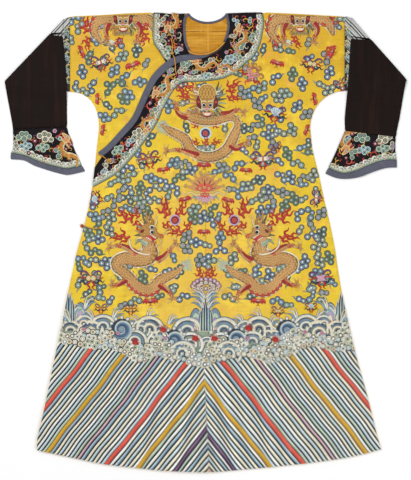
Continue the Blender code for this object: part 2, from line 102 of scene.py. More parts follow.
class RobeThread(bpy.types.PropertyGroup):
    """How the embroidery threads look."""

    pitch: length_property("Thread pitch", "Distance between neighbouring stitches", 0.0011, 0.0004, 0.004)
    lobe_sides: IntProperty(
        name="Lobe sides", description="Sides of each round lobe of a cloud", default=12, min=6, max=32
    )


class RobeStage(bpy.types.PropertyGroup):
    """Floor, lights and camera."""

    floor: colour_property("Floor", "Colour of the floor", 250, 250, 250)
    distance: length_property("Camera height", "Height of the camera over the floor", 6.5, 2, 20)
    key: FloatProperty(
        name="Key light", description="Power of the large light", default=80, min=1, max=2000, unit="POWER"
    )


MM = 0.001

# ---- Cloth ----
WALL = 2.0  # silk, wadding and lining, quilted together
SEAM = 0.3  # between pieces that are sewn edge to edge
CREASED_SEAM = 0.35  # where the seam itself is folded over
LAYER = WALL + SEAM
OVERLAP_GAP = 0.9  # under the outer front, which lies loose on the underlap and its binding
LINING = 1.0
TRIM_RAISE = 0.6  # the binding stands this much above the cloth it edges

# ---- Folds ----
TOP_AXIS = WALL + SEAM / 2  # height of the axis that the back folds round
TOP_ARC = math.pi * (SEAM + WALL) / 2
CREASE_AXIS = 2 * LAYER - SEAM / 2
CREASE_ARC = 7.2
ARC_ROWS = 6
DROP = 2 * LAYER  # the folded sleeve comes down this far past the cloth under it
DROP_CLEAR = 3.0
DROP_RUN = 45.0

# ---- Outline of the body ----
SHOULDER_END = {"left": 433.0, "right": -424.0}  # seam of upper sleeve and sleeve band
TOP_LINE = (  # x, y of the fold along shoulders and sleeves, from the right cuff to the left
    (-919, 738), (-883, 721), (-848, 707), (-810, 696), (-778, 688), (-659, 692),
    (-559, 691), (-481, 687), (-441, 696), (-424, 702), (-330, 706), (-237, 712),
    (-152, 714), (-106, 710), (-53, 712), (63, 712), (156, 715), (284, 710),
    (406, 703), (433, 702), (453, 701), (510, 693), (585, 689), (679, 684),
    (767, 682), (807, 677), (849, 689), (901, 705), (947, 722),
)
SIDES = (  # y, x of the right side, x of the left side
    (288, -341, 332), (207, -350, 353), (132, -361, 369), (57, -378, 387),
    (-18, -399, 402), (-93, -416, 413), (-168, -432, 426), (-243, -446, 442),
    (-317, -462, 459), (-392, -478, 479), (-467, -493, 500), (-542, -509, 519),
    (-608, -525, 535),
)
HEM = (  # x, y
    (-527, -648), (-436, -667), (-321, -691), (-209, -704), (-134, -712), (7, -717),
    (125, -708), (291, -692), (412, -676), (484, -662), (547, -645),
)
# side: (corner x, top y, bottom y, widest x, squareness of the rounded corner)
UNDERARM = {"left": (433, 472, 356, 325, 2.0), "right": (-424, 469, 356, -333, 2.3)}

# ---- Sleeves, in the flat pattern ----
BAND_END = {"left": 512.0, "right": -484.0}
SLEEVE_END = {"left": 807.0, "right": -778.0}
SLEEVE_LOW = {  # x, y of the lower edge, past the shoulder end
    "left": ((433, 472), (610, 504), (665, 510), (750, 514), (807, 519), (854, 514), (901, 504)),
    "right": ((-424, 469), (-600, 498), (-666, 506), (-745, 517), (-778, 520), (-832, 519), (-871, 509)),
}
CUFF_END = {  # x, y of the cuff's free end, from lower edge to top line, and the trim's width
    "left": ((901, 504, 23), (907, 538, 25), (924, 577, 24), (944, 615, 22), (955, 655, 18),
             (956, 689, 19), (947, 722, 20)),
    "right": ((-871, 509, 20), (-876, 550, 15), (-893, 580, 17), (-911, 626, 17), (-926, 672, 19),
              (-927, 694, 19), (-919, 738, 20)),
}
CREASE = {  # point on the axis, and the angle of the crease from +X
    "left": ((449.5, 699.8), -48.4),
    "right": ((-428.6, 704.4), -133.7),
}

# ---- Collar ----
NECK_EDGE = (  # x, y, width of the trim: left neck, neckline and lapel edge to the underarm
    (61, 712, 8), (67, 668, 8), (44, 609, 8), (-9, 587, 13), (-81, 583, 21), (-127, 561, 23),
    (-171, 516, 22), (-202, 453, 21), (-230, 391, 20), (-268, 347, 20), (-308, 303, 19),
    (-337, 280, 19),
)
COLLAR_EDGE = (  # x, y of the collar's outer edge, from the left shoulder to the underarm
    (178, 712), (181, 678), (163, 600), (116, 550), (60, 512), (-18, 500), (-81, 494),
    (-124, 434), (-152, 372), (-187, 319), (-230, 263), (-283, 210), (-351, 172),
)
INNER_NECK = (  # x, y, width of the trim: right neck, to where the lapel covers it
    (-50, 712, 9), (-62, 693, 9), (-63, 653, 8), (-59, 622, 8), (-49, 600, 8), (-40, 578, 8),
)
INNER_COLLAR = ((-165, 712), (-165, 631), (-149, 600), (-127, 566), (-112, 537))
BACK_NECK_DEPTH = 24.0
BACK_NECK_BOW = 1.5
BACK_BINDING_BOW = 1.25
BACK_TRIM = 7.0
BACK_COLLAR_DEPTH = 104.0
UNDERLAP_EDGE = -9.0  # x of the inner front's free edge
UNDERLAP_RISE = 16.0  # its hem and side stay this far inside the outer front's

# ---- Lining seen in the neck: centre, half width and the two half heights of its outline ----
LINING_AT = (2.0, 655.0)
LINING_SIZE = (82.0, 60.0, 76.0)
LINING_TURN = (14, -194)  # where on that oval the part under the front's edge starts and ends

# ---- Soft folds of the upper layers: x, y, direction in degrees, half length, half width, height ----
RIDGES = (
    (-230, 470, -28, 150, 46, 1.5),
    (245, 480, 22, 160, 50, 1.6),
    (-255, 60, 74, 210, 52, 1.2),
    (265, 90, -76, 230, 58, 1.3),
    (20, 300, 86, 170, 70, 1.1),
    (-90, -210, 82, 260, 66, 1.5),
    (150, -250, -80, 250, 60, 1.5),
    (-330, -400, 72, 200, 52, 1.3),
    (370, -380, -74, 220, 56, 1.4),
    (40, -480, 88, 180, 62, 1.0),
)
SLEEVE_RIDGES = (
    (-540, 470, -58, 150, 34, 1.8),
    (-500, 330, 84, 130, 40, 1.3),
    (540, 460, 60, 150, 34, 1.8),
    (495, 320, -86, 130, 40, 1.3),
)
RIDGE_FADE = 60.0

# ---- Closings ----
CORD = 1.6  # radius
NECK_CORD = ((-108, 634), (-105, 622), (-104, 606), (-105, 595))
NECK_LOOP = ((-102, 583), (-98, 574), (-95, 552), (-94, 534), (-91, 524))
NECK_KNOT = ((-105, 589), 5.0)
UNDERARM_CORD = ((-338, 274), (-326, 270), (-316, 264), (-311, 259))
UNDERARM_KNOT = ((-301, 253), 7.0)
SIDE_CORD = ((-379, 51), (-360, 45), (-343, 43), (-330, 44))
SIDE_BUTTON = ((-386.4, 51), 6.0)

# ---- Curves through the tables ----
def through(rows, steps=3):
    """Points of a smooth curve through the rows, each span cut into steps."""
    rows = np.array(rows, float)
    ends = np.vstack((2 * rows[0] - rows[1], rows, 2 * rows[-1] - rows[-2]))
    points = []
    for before, start, end, after in zip(ends, ends[1:], ends[2:], ends[3:]):
        for t in np.arange(steps) / steps:
            slope_in, slope_out = (end - before) / 2, (after - start) / 2
            points.append(
                start * (1 + 2 * t) * (1 - t) ** 2 + end * t * t * (3 - 2 * t)
                + slope_in * t * (1 - t) ** 2 - slope_out * t * t * (1 - t)
            )
    return np.array(points + [rows[-1]])


def reader(curve, across=0, up=1):
    """A function that gives one column of a curve where another has the values given."""
    order = np.argsort(curve[:, across], kind="stable")
    known, wanted = curve[order, across], curve[order, up]
    return lambda value: np.interp(value, known, wanted)


def smooth(value):
    """0 below 0, 1 above 1, and an S curve between."""
    t = np.clip(value, 0.0, 1.0)
    return t * t * (3 - 2 * t)


HEM_CURVE = through(HEM)
SIDE_CURVE = through(SIDES)
top = reader(through(TOP_LINE))
hem = reader(HEM_CURVE)
side_x = {"right": reader(SIDE_CURVE, 0, 1), "left": reader(SIDE_CURVE, 0, 2)}
LOW_CURVE = {side: through(rows) for side, rows in SLEEVE_LOW.items()}
low = {side: reader(curve) for side, curve in LOW_CURVE.items()}


def beside(rows, hand=1):
    """The curve through x, y, width rows, and the curve that width to its left, or to its right."""
    curve = through(rows)
    along = np.gradient(curve[:, :2], axis=0)
    along /= np.linalg.norm(along, axis=1)[:, None]
    across = np.stack((-along[:, 1], along[:, 0]), axis=1) * hand
    return curve[:, :2].tolist(), (curve[:, :2] + across * curve[:, 2:3]).tolist()


def back_arc(x_from, x_to, depth, bow=1.0, steps=16):
    """A curve hung from the top line between two points on it: half an ellipse, slimmer with more bow."""
    middle, half = (x_from + x_to) / 2, (x_to - x_from) / 2
    angles = [math.pi * i / steps for i in range(steps + 1)]
    line = [(middle - half * math.cos(angle), depth * abs(math.sin(angle)) ** bow) for angle in angles]
    return [(x, top(x) - sunk) for x, sunk in line]


def underarm(side, steps=8):
    """The rounded corner from the sleeve's lower edge down to the side."""
    corner_x, high, bottom, widest, square = UNDERARM[side]
    points = []
    for i in range(steps + 1):
        angle = math.pi / 2 * i / steps
        out = math.sin(angle) ** (2 / square)
        down = 1 - math.cos(angle) ** (2 / square)
        points.append((corner_x + (widest - corner_x) * out, high - (high - bottom) * down))
    return points


def side_line(side, start=SIDES[0][0] + 1, inset=0.0):
    """Down a side from a height to the hem, moved in by the inset below the underarm."""
    column, inward = (1, 1) if side == "right" else (2, -1)
    return [(row[column] + inward * inset * smooth((start - row[0]) / 140), row[0])
            for row in SIDE_CURVE if row[0] < start]


def hem_line(x_from, x_to, rise=0.0):
    """Along the hem between two points that lie left to right in the table."""
    inner = [(x, y + rise) for x, y in HEM_CURVE if x_from < x < x_to]
    return [(x_from, hem(x_from) + rise), *inner, (x_to, hem(x_to) + rise)]


def half_of(points, hand):
    """The points on the left half, hand 1, or on the right half, hand -1."""
    return [p for p in points if p[0] * hand > 0]


def at_centre(line):
    return 0, reader(np.array(line))(0)


def across(side, x):
    """The upper and the lower edge of a flat sleeve at x."""
    return [(x, top(x)), (x, low[side](x))]


def on_back(points):
    """Where points of the back lie in the flat pattern, past the top line."""
    return [(x, 2 * top(x) + TOP_ARC - y) for x, y in points]


def tube(edge):
    """The pattern of a tube cut in one, from its front edge that starts and ends on the top line."""
    return edge + on_back(edge)[::-1]


# ---- Patterns ----
TRIM_OUTSIDE, TRIM_INSIDE = beside(NECK_EDGE)
COLLAR_OUTSIDE = through(COLLAR_EDGE).tolist()
INNER_OUTSIDE, INNER_INSIDE = beside(INNER_NECK, hand=-1)
INNER_RING = through(INNER_COLLAR).tolist()
BACK_HOLE = back_arc(INNER_NECK[0][0], NECK_EDGE[0][0], BACK_NECK_DEPTH, BACK_NECK_BOW)
BACK_BINDING = back_arc(
    INNER_INSIDE[0][0], TRIM_INSIDE[0][0], BACK_NECK_DEPTH + BACK_TRIM, BACK_BINDING_BOW
)
BACK_RING = back_arc(INNER_COLLAR[0][0], COLLAR_EDGE[0][0], BACK_COLLAR_DEPTH)
LEFT_END, RIGHT_END = HEM[-1][0], HEM[0][0]  # of the hem


def body_side(side, start=SIDES[0][0] + 1, inset=0.0):
    """From the seam with the sleeve band round the underarm and down to the hem's corner."""
    return [*across(side, SHOULDER_END[side]), *underarm(side)[1:], *side_line(side, start, inset)]


def body_left():
    corner, *down = body_side("left")
    left_hem = hem_line(0, LEFT_END)
    front = [corner, *down, *left_hem[::-1], at_centre(COLLAR_OUTSIDE), *half_of(COLLAR_OUTSIDE[::-1], 1)]
    back = [at_centre(BACK_RING), (0, hem(0)), *left_hem[1:], *down[::-1], corner]
    return front + on_back(half_of(BACK_RING, 1)[::-1] + back)


def body_right():
    corner, *down = body_side("right")
    inner = body_side("right", inset=UNDERLAP_RISE)
    front = [*inner, *hem_line(inner[-1][0], UNDERLAP_EDGE, UNDERLAP_RISE),
             (UNDERLAP_EDGE, INNER_NECK[-1][1] - 18), INNER_NECK[-1][:2], *INNER_RING[::-1]]
    back = [at_centre(BACK_RING), *hem_line(RIGHT_END, 0)[::-1], *down[::-1], corner]
    return front + on_back(half_of(BACK_RING, -1) + back)


def front_overlap():
    return [at_centre(COLLAR_OUTSIDE), *half_of(COLLAR_OUTSIDE, -1),
            *side_line("right", COLLAR_EDGE[-1][1] - 4), *hem_line(RIGHT_END, 0)]


def collar_front():
    lapel_end = [p for p in side_line("right") if COLLAR_EDGE[-1][1] + 4 < p[1] < TRIM_INSIDE[-1][1] - 4]
    return COLLAR_OUTSIDE + lapel_end[::-1] + TRIM_INSIDE[::-1]


def collar_outer():
    start = [at_centre(BACK_BINDING), at_centre(BACK_RING), *half_of(BACK_RING, 1)]
    return on_back(start) + collar_front() + on_back(half_of(BACK_BINDING, 1)[::-1])


def collar_inner():
    back = [*half_of(BACK_RING, -1), at_centre(BACK_RING), at_centre(BACK_BINDING),
            *half_of(BACK_BINDING, -1)[::-1]]
    return INNER_RING[::-1] + on_back(back) + INNER_INSIDE


def neck_trim_outer():
    back = [*half_of(BACK_HOLE, 1)[::-1], at_centre(BACK_HOLE), at_centre(BACK_BINDING),
            *half_of(BACK_BINDING, 1)]
    return on_back(back) + TRIM_INSIDE + TRIM_OUTSIDE[::-1]


def neck_trim_inner():
    back = [*half_of(BACK_BINDING, -1), at_centre(BACK_BINDING), at_centre(BACK_HOLE),
            *half_of(BACK_HOLE, -1)[::-1]]
    return INNER_INSIDE[::-1] + on_back(back) + INNER_OUTSIDE


def back_lining(steps=24):
    """Its upper edge follows the back binding, and the rest is an ellipse under the front's edge."""
    at_x, at_y = LINING_AT
    half, above, below = LINING_SIZE
    outline = [p for p in BACK_BINDING if abs(p[0] - at_x) < 0.6 * half]
    for i in range(steps + 1):
        angle = math.radians(LINING_TURN[0] + (LINING_TURN[1] - LINING_TURN[0]) * i / steps)
        tall = above if math.sin(angle) > 0 else below
        outline.append((at_x + half * math.cos(angle), at_y + tall * math.sin(angle)))
    return outline


def lower_edge(side, start, end, margin=0):
    """The curve of the sleeve's lower edge between two places along it."""
    return [p for p in LOW_CURVE[side] if min(start, end) + margin < p[0] < max(start, end) - margin]


def band_edge(side):
    return across(side, SHOULDER_END[side]) + across(side, BAND_END[side])[::-1]


def sleeve_edge(side):
    start, end = BAND_END[side], SLEEVE_END[side]
    return across(side, start) + lower_edge(side, start, end) + across(side, end)[::-1]


def cuff_lines(side):
    """The cuff's free end and the line where its binding starts, both from lower edge to top line."""
    lines = beside(CUFF_END[side], hand=1 if side == "left" else -1)
    return [[(x, min(y, top(x))) for x, y in line] for line in lines]


def cuff_edge(side):
    start, inner = SLEEVE_END[side], cuff_lines(side)[1]
    return across(side, start) + lower_edge(side, start, inner[0][0], 4) + inner


def cuff_trim_edge(side):
    end, inner = cuff_lines(side)
    return inner[::-1] + end


# ---- Folding ----
def turned(x, y, degrees):
    """A place in axes turned by the angle."""
    c, s = math.cos(math.radians(degrees)), math.sin(math.radians(degrees))
    return x * c + y * s, y * c - x * s


def ridge_height(x, y, rows):
    total = 0.0
    for at_x, at_y, turn, length, width, height in rows:
        along, over = turned(x - at_x, y - at_y, turn)
        total = total + height * np.exp(-((along / length) ** 2) - (over / width) ** 2)
    return total


# Fine unevenness: wave length across, direction of the wave in degrees, phase, share of the height
CRUMPLE = (
    (61, 84, 0.3, 0.30), (47, 12, 1.9, 0.20), (33, 101, 4.1, 0.22),
    (27, 38, 2.2, 0.14), (88, -22, 0.9, 0.34), (38, 66, 5.2, 0.18),
)
PRESS_FOLDS = ((52, 1.0), (-96, 0.9), (-330, 0.7))  # y and height of folds from storage
PRESS_WIDTH = 3.4
EDGE_FADE = 22  # the unevenness dies away towards the edges over this distance


def crumple(x, y):
    total = 0.0
    for length, turn, phase, share in CRUMPLE:
        along, over = turned(x, y, turn)
        bent = along + 9 * np.sin(over / 71 + phase)
        total = total + share * np.sin(2 * np.pi * bent / length + phase)
    return total


def front_relief(x, y):
    """Soft folds, fine unevenness and the folds pressed in by storage, fading out at the edges."""
    inside = edge_distance(x, y)
    height = bpy.context.scene.robe_cloth.crumple / MM
    pressed = sum(0.45 * tall * np.exp(-(((y - at) / PRESS_WIDTH) ** 2)) for at, tall in PRESS_FOLDS)
    fine = height * (0.6 + crumple(x, y)) + pressed * (0.6 + 0.4 * np.sin(x / 83))
    return ridge_height(x, y, RIDGES) * smooth(inside / RIDGE_FADE) + fine * smooth(inside / EDGE_FADE)


def edge_distance(x, y):
    """How far a point of the front lies inside the body's outline."""
    body = np.minimum(x - side_x["right"](y), side_x["left"](y) - x)
    sleeve = np.minimum(y - UNDERARM["left"][1], SHOULDER_END["left"] - x)
    sleeve = np.minimum(sleeve, x - SHOULDER_END["right"])
    return np.minimum(np.minimum(top(x) - y, y - hem(x)), np.maximum(body, sleeve))


def lining_lift(x, y):
    """The front lies on the lining round the neck, but not where it folds over the shoulder."""
    tall = np.where(y > LINING_AT[1], LINING_SIZE[1], LINING_SIZE[2])
    out = (x - LINING_AT[0]) / LINING_SIZE[0]
    near = 1 - smooth((np.hypot(out, (y - LINING_AT[1]) / tall) - 1.1) / 0.6)
    return (LINING + SEAM) * near * smooth((top(x) - y - 4) / 14)


def front_height(x, y):
    return front_relief(x, y) + lining_lift(x, y)


def overlap_height(x, y):
    """The outer front lies on the underlap right of the centre seam, and comes down left of it."""
    return front_height(x, y) + (WALL + OVERLAP_GAP) * (1 - smooth((x - 4) / 50))


def fold_top(x, v, z):
    past = v - top(x)
    radius = z - TOP_AXIS
    turn = np.pi * np.clip(past / TOP_ARC, 0, 1)
    y = top(x) + radius * np.sin(turn) - np.maximum(past - TOP_ARC, 0)
    return x, np.where(past > 0, y, v), TOP_AXIS + radius * np.cos(turn)


def past_crease(x, y, side):
    """How far a point lies past the crease, and the way out from it."""
    (at_x, at_y), degrees = CREASE[side]
    turn = math.radians(degrees)
    out_x, out_y = math.copysign(math.sin(turn), math.cos(turn)), abs(math.cos(turn))
    return (x - at_x) * out_x + (y - at_y) * out_y, out_x, out_y


def fold_crease(x, y, z, side):
    past, out_x, out_y = past_crease(x, y, side)
    past = np.maximum(past, 0)
    radius = CREASE_AXIS - z
    bend = np.pi * np.clip(past / CREASE_ARC, 0, 1)
    shift = radius * np.sin(bend) - np.maximum(past - CREASE_ARC, 0) - past
    return x + shift * out_x, y + shift * out_y, CREASE_AXIS - radius * np.cos(bend)


def unfold_crease(x, y, side):
    """Where a point of the folded sleeve lay before it was turned down."""
    past, out_x, out_y = past_crease(x, y, side)
    return x + (CREASE_ARC - 2 * past) * out_x, y + (CREASE_ARC - 2 * past) * out_y


def sleeve_relief(folded_x, y, flat_x, flat_y, side):
    into_back = top(flat_x) - flat_y
    inside = np.minimum(into_back, flat_y - low[side](flat_x))
    inside = np.minimum(inside, past_crease(flat_x, flat_y, side)[0])
    fine = bpy.context.scene.robe_cloth.crumple / MM * (0.6 + crumple(folded_x, y))
    soft = ridge_height(folded_x, y, SLEEVE_RIDGES) * smooth(inside / RIDGE_FADE)
    return soft + fine * smooth(inside / EDGE_FADE)


def place_body(height, raised=0.0):
    """Where points of the pattern end up. Skin 0 is the cloth's inside, skin 1 its outside."""

    def place(x, v, skin):
        past = v - top(x)
        lift = np.where(past < 0, height(x, np.minimum(v, top(x))), 0.0)
        z = LAYER + lift + skin * (WALL + raised * smooth(-past / 20))
        return fold_top(x, v, z)

    return place


def place_sleeve(side, raised=0.0):
    def place(x, v, skin):
        into_back = v - top(x) - TOP_ARC
        flat_y = top(x) - np.maximum(into_back, 0)
        folded_x, y, z = fold_crease(*fold_top(x, v, LAYER + skin * WALL), side)
        under_x, under_y, _ = fold_crease(*fold_top(x, v, LAYER + WALL / 2 + 0 * x), side)
        beyond = low[side](under_x) - DROP_CLEAR - under_y
        inside = np.minimum(np.maximum(into_back, 0), past_crease(x, flat_y, side)[0])
        over = sleeve_relief(folded_x, y, x, flat_y, side) * smooth(inside / 4)
        over += raised * skin * smooth(into_back / 20) - DROP * smooth(beyond / DROP_RUN)
        return folded_x, y, np.where(z < CREASE_AXIS, z, z + over)

    return place


def place_lining(x, y, skin):
    ripple = 0.3 * (1 + np.sin(y / 3.1 + np.sin(x / 17))) * skin
    return x, y, LAYER + skin * LINING + ripple * smooth((y - 640) / 20) * 0.4


# ---- Where needlework lies ----
def on_overlap(x, y):
    return LAYER + WALL + overlap_height(x, y)


def on_inner(x, y):
    return LAYER + WALL + front_height(x, y)


def on_folded_sleeve(side):
    """The visible side of the folded sleeve is its back."""

    def surface(x, y):
        flat_x, flat_y = unfold_crease(x, y, side)
        beyond = low[side](x) - DROP_CLEAR - y
        relief = sleeve_relief(x, y, flat_x, flat_y, side)
        return 2 * CREASE_AXIS + relief - DROP * smooth(beyond / DROP_RUN)

    return surface


def on_under_sleeve(x, y):
    return LAYER + WALL + 0 * x


def folded_outline(side, edge):
    """The visible outline of a piece of the folded sleeve, from the outline of its half pattern."""
    points = np.array(edge, float)
    past, out_x, out_y = past_crease(points[:, 0], points[:, 1], side)
    shift = CREASE_ARC - 2 * past
    return points + np.stack((shift * out_x, shift * out_y), axis=1)


# ---- Meshes ----
def new_piece(name, mesh, material, replaces=()):
    mesh.materials.clear()
    mesh.materials.append(material)
    mesh.shade_smooth()
    piece = put(name, mesh)
    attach(piece, "root")
    if replaces:
        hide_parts(*replaces)
    return piece


def set_map(mesh, name, corners):
    layer = mesh.uv_layers.new(name=name)
    layer.data.foreach_set("uv", np.ascontiguousarray(corners, np.float32).ravel())


def columns(*parts):
    return np.stack(parts, axis=1)


def twice_area(start, end):
    """Twice the signed area between the origin and each pair of points or arms."""
    return start[:, 0] * end[:, 1] - end[:, 0] * start[:, 1]


def lengths(vectors):
    return np.linalg.norm(vectors, axis=1)


def inset(outline, amount, apart=1.2):
    """The closed outline moved inwards, with points that nearly coincide left out."""
    kept = [outline[0]]
    for point in outline[1:]:
        if math.dist(point, kept[-1]) > apart:
            kept.append(point)
    if math.dist(kept[-1], kept[0]) < apart:
        kept.pop()
    points = np.array(kept, float)
    if twice_area(points, np.roll(points, -1, axis=0)).sum() < 0:
        points = points[::-1]
    side = np.roll(points, -1, axis=0) - points
    side /= lengths(side)[:, None]
    normal = columns(-side[:, 1], side[:, 0])
    before = np.roll(normal, 1, axis=0)
    meet = np.maximum(1 + (normal * before).sum(axis=1), 0.35)[:, None]
    return points + amount * (normal + before) / meet


def finer(outline, step):
    """The closed outline with its long sides divided."""
    points = []
    for start, end in zip(outline, np.roll(outline, -1, axis=0)):
        parts = max(1, round(math.dist(start, end) / step))
        points.extend(start + (end - start) * i / parts for i in range(parts))
    return np.array(points)


def within(points, outline):
    """Which points lie inside the closed outline."""
    x, y = points.T
    inside = np.zeros(len(points), bool)
    for (ax, ay), (bx, by) in zip(outline, np.roll(outline, -1, axis=0)):
        if ay != by:
            inside ^= ((ay > y) != (by > y)) & (x < (bx - ax) * (y - ay) / (by - ay) + ax)
    return inside


def nearest(points, outline):
    """The nearest point of the closed outline to each point."""
    best, found = np.full(len(points), np.inf), points.copy()
    for start, end in zip(outline, np.roll(outline, -1, axis=0)):
        along = end - start
        t = np.clip(((points - start) @ along) / max(along @ along, 1e-9), 0, 1)
        at = start + t[:, None] * along
        far = ((points - at) ** 2).sum(axis=1)
        closer = far < best
        best[closer] = far[closer]
        found[closer] = at[closer]
    return found, np.sqrt(best)


def crease_rows(side, levels, step=4.0):
    """Lines of points along the crease through both layers of the tube, as x and height past the top."""
    (at_x, at_y), degrees = CREASE[side]
    along = np.array(turned(1, 0, -degrees))
    _, *out = past_crease(0, 0, side)
    rows = []
    for level in levels:
        points = np.array((at_x, at_y)) + level * np.array(out) + np.arange(-20, 360, step)[:, None] * along
        x, below = points[:, 0], points[:, 1] - top(points[:, 0])
        x, below = x[below < 0], below[below < 0]
        rows.append(np.concatenate((columns(x, below)[::-1], columns(x, TOP_ARC - below))))
    return rows


def cloth_points(outline, grid, crease):
    """Points of the flat pattern as x and v less the height of the top line, and the lines they keep to."""
    ring = columns(outline[:, 0], outline[:, 1] - top(outline[:, 0]))
    low_x, low_w = ring.min(axis=0)
    high_x, high_w = ring.max(axis=0)
    levels = np.arange(math.floor(low_w / grid), 0) * grid
    if high_w > TOP_ARC:
        arc = TOP_ARC * np.arange(ARC_ROWS + 1) / ARC_ROWS
        levels = np.concatenate((levels, arc, np.arange(TOP_ARC + grid, high_w, grid)))
    across = np.arange(math.floor(low_x / grid), high_x / grid + 1) * grid
    field = np.stack(np.meshgrid(across, levels), axis=-1).reshape(-1, 2)
    field = field[within(field, ring)]
    near = np.where((field[:, 1] > -1) & (field[:, 1] < TOP_ARC + 1), 0.25, 0.4) * grid
    field = field[nearest(field, ring)[1] > near]
    rows = []
    if crease:
        rows = crease_rows(crease, CREASE_ARC * np.arange(ARC_ROWS + 1) / ARC_ROWS)
        x, v = field.T
        past = past_crease(x, top(x) + np.where(v > 0, -np.maximum(v - TOP_ARC, 0), v), crease)[0]
        field = field[(past < -2.5) | (past > CREASE_ARC + 2.5)]
        rows = [row[within(row, ring) & (nearest(row, ring)[1] > 1.5)] for row in rows]
        rows = [row for row in rows if len(row) > 1]
    return ring, field, rows


def chained(rows, start=0):
    """The edges that join the points of each row, numbered on from a start."""
    edges = []
    for row in rows:
        edges += [(start + i, start + i + 1) for i in range(len(row) - 1)]
        start += len(row)
    return edges


def triangulate(ring, field, rows):
    edges = [(i, (i + 1) % len(ring)) for i in range(len(ring))]
    edges += chained(rows, len(ring) + len(field))
    made = delaunay_2d_cdt(np.concatenate([ring, field, *rows]).tolist(), edges, [], 1, 1e-5)
    return np.array([tuple(p) for p in made[0]]), np.array([tuple(f) for f in made[2]], int)


def rim_of(points, triangles):
    """The directed edges that have no neighbour, and the way outwards at each point on them."""
    ends = np.concatenate([triangles[:, pair] for pair in ([0, 1], [1, 2], [2, 0])])
    key = ends[:, 0] * len(points) + ends[:, 1]
    twin = ends[:, 1] * len(points) + ends[:, 0]
    rim = ends[~np.isin(key, twin)]
    along = points[rim[:, 1]] - points[rim[:, 0]]
    along /= lengths(along)[:, None]
    out = np.zeros_like(points)
    for end in rim.T:
        np.add.at(out, end, columns(along[:, 1], -along[:, 0]))
    return rim, out / np.maximum(lengths(out)[:, None], 1e-9)


def cloth(node, outline, place, material, crease=None, grid=None, shows="front"):
    """One piece of cloth in place of its solid: two skins from the flat pattern and a rolled edge."""
    sizes = bpy.context.scene.robe_cloth
    grid = grid or sizes.grid / MM
    roll = sizes.roll / MM
    gap = CREASED_SEAM if crease else SEAM
    edge = finer(inset(outline, gap / 2 + roll), grid)
    ring, field, rows = cloth_points(edge, grid, crease)
    points, triangles = triangulate(ring, field, rows)
    points = points + columns(0 * points[:, 0], top(points[:, 0]))
    rim, out = rim_of(points, triangles)
    count = len(points)
    on_rim, position = np.unique(rim, return_inverse=True)
    position = position.reshape(rim.shape) + 2 * count
    middle = points[on_rim] + roll * out[on_rim]
    flat = np.concatenate((points, points, middle))
    skin = np.repeat((1, 0, 0.5), (count, count, len(middle)))
    placed = columns(*np.broadcast_arrays(*place(*flat.T, skin)))
    (a, b), (middle_a, middle_b) = rim.T, position.T
    faces = np.concatenate((
        triangles, triangles[:, ::-1] + count, columns(b, a, middle_a), columns(b, middle_a, middle_b),
        columns(middle_b, middle_a, a + count), columns(middle_b, a + count, b + count),
    ))
    mesh = bpy.data.meshes.new(node + "_silk")
    mesh.from_pydata((placed * MM).tolist(), [], faces.tolist())
    set_map(mesh, "cut", flat[faces.ravel()] * MM)
    set_map(mesh, "OFBake", bake_corners(flat, faces, len(triangles), shows))
    mesh.validate()
    return new_piece(node + "_silk", mesh, material, (node,))


def bake_corners(flat, faces, skin_faces, shows):
    """A map with most of its width for the skin that shows, and strips for the other skins."""
    corners = flat[faces.ravel()]
    (low_x, low_y), (high_x, high_y) = flat.min(axis=0), flat.max(axis=0)
    past = (corners[:, 1] - top(corners[:, 0])).reshape(-1, 3).mean(axis=1)
    behind = np.repeat(past > TOP_ARC / 2, 3)
    inner = np.repeat(np.arange(len(faces)) >= skin_faces, 3)
    wide = behind == (shows == "back")
    u = (corners[:, 0] - low_x) / (high_x - low_x)
    middle = corners[behind, 1].min() if behind.any() and not behind.all() else high_y
    front_v = (corners[:, 1] - low_y) / (middle + 6 - low_y)
    back_v = (corners[:, 1] - middle + 6) / max(high_y - middle + 6, 1)
    v = np.clip(np.where(behind, back_v, front_v), 0, 1)
    start = np.where(inner, np.where(wide, 0.84, 0.92), np.where(wide, 0.0, 0.68))
    width = np.where(inner, 0.07, np.where(wide, 0.67, 0.15))
    return columns(start + width * u, v * 0.998 + 0.001)


# ---- Materials ----
TURN = 2 * math.pi
BAND_SLANT = math.radians(47.4)
WIDE_STRIPE, THIN_STRIPE = 0.021, 0.0068  # pitches of the stripes of the sleeve bands
COUCHING, COUCHING_WAVE = 0.0024, 0.0055  # pitch of the couched gold threads, and of their waves


def maths(operation, swapped=False):
    """A method that adds one Math node to the tree, with the socket as its first term or its second."""

    def method(self, *others):
        terms = (*others, self) if swapped else (self, *others)
        return self.look.node("ShaderNodeMath", {"operation": operation}, dict(enumerate(terms)))

    return method


class Value:
    """One socket of a tree, with Python's operators turned into Math nodes."""

    def __init__(self, look, socket):
        self.look, self.socket = look, socket

    __add__ = __radd__ = maths("ADD")
    __sub__, __rsub__ = maths("SUBTRACT"), maths("SUBTRACT", swapped=True)
    __mul__ = __rmul__ = maths("MULTIPLY")
    __truediv__ = maths("DIVIDE")
    wave, size = maths("SINE"), maths("ABSOLUTE")
    power, at_least = maths("POWER"), maths("MAXIMUM")

    def between(self, low, high):
        """0 at low, 1 at high and an S curve between, never outside."""
        ends = {"Value": self, "From Min": low, "From Max": high}
        return self.look.node("ShaderNodeMapRange", {"interpolation_type": "SMOOTHSTEP"}, ends)


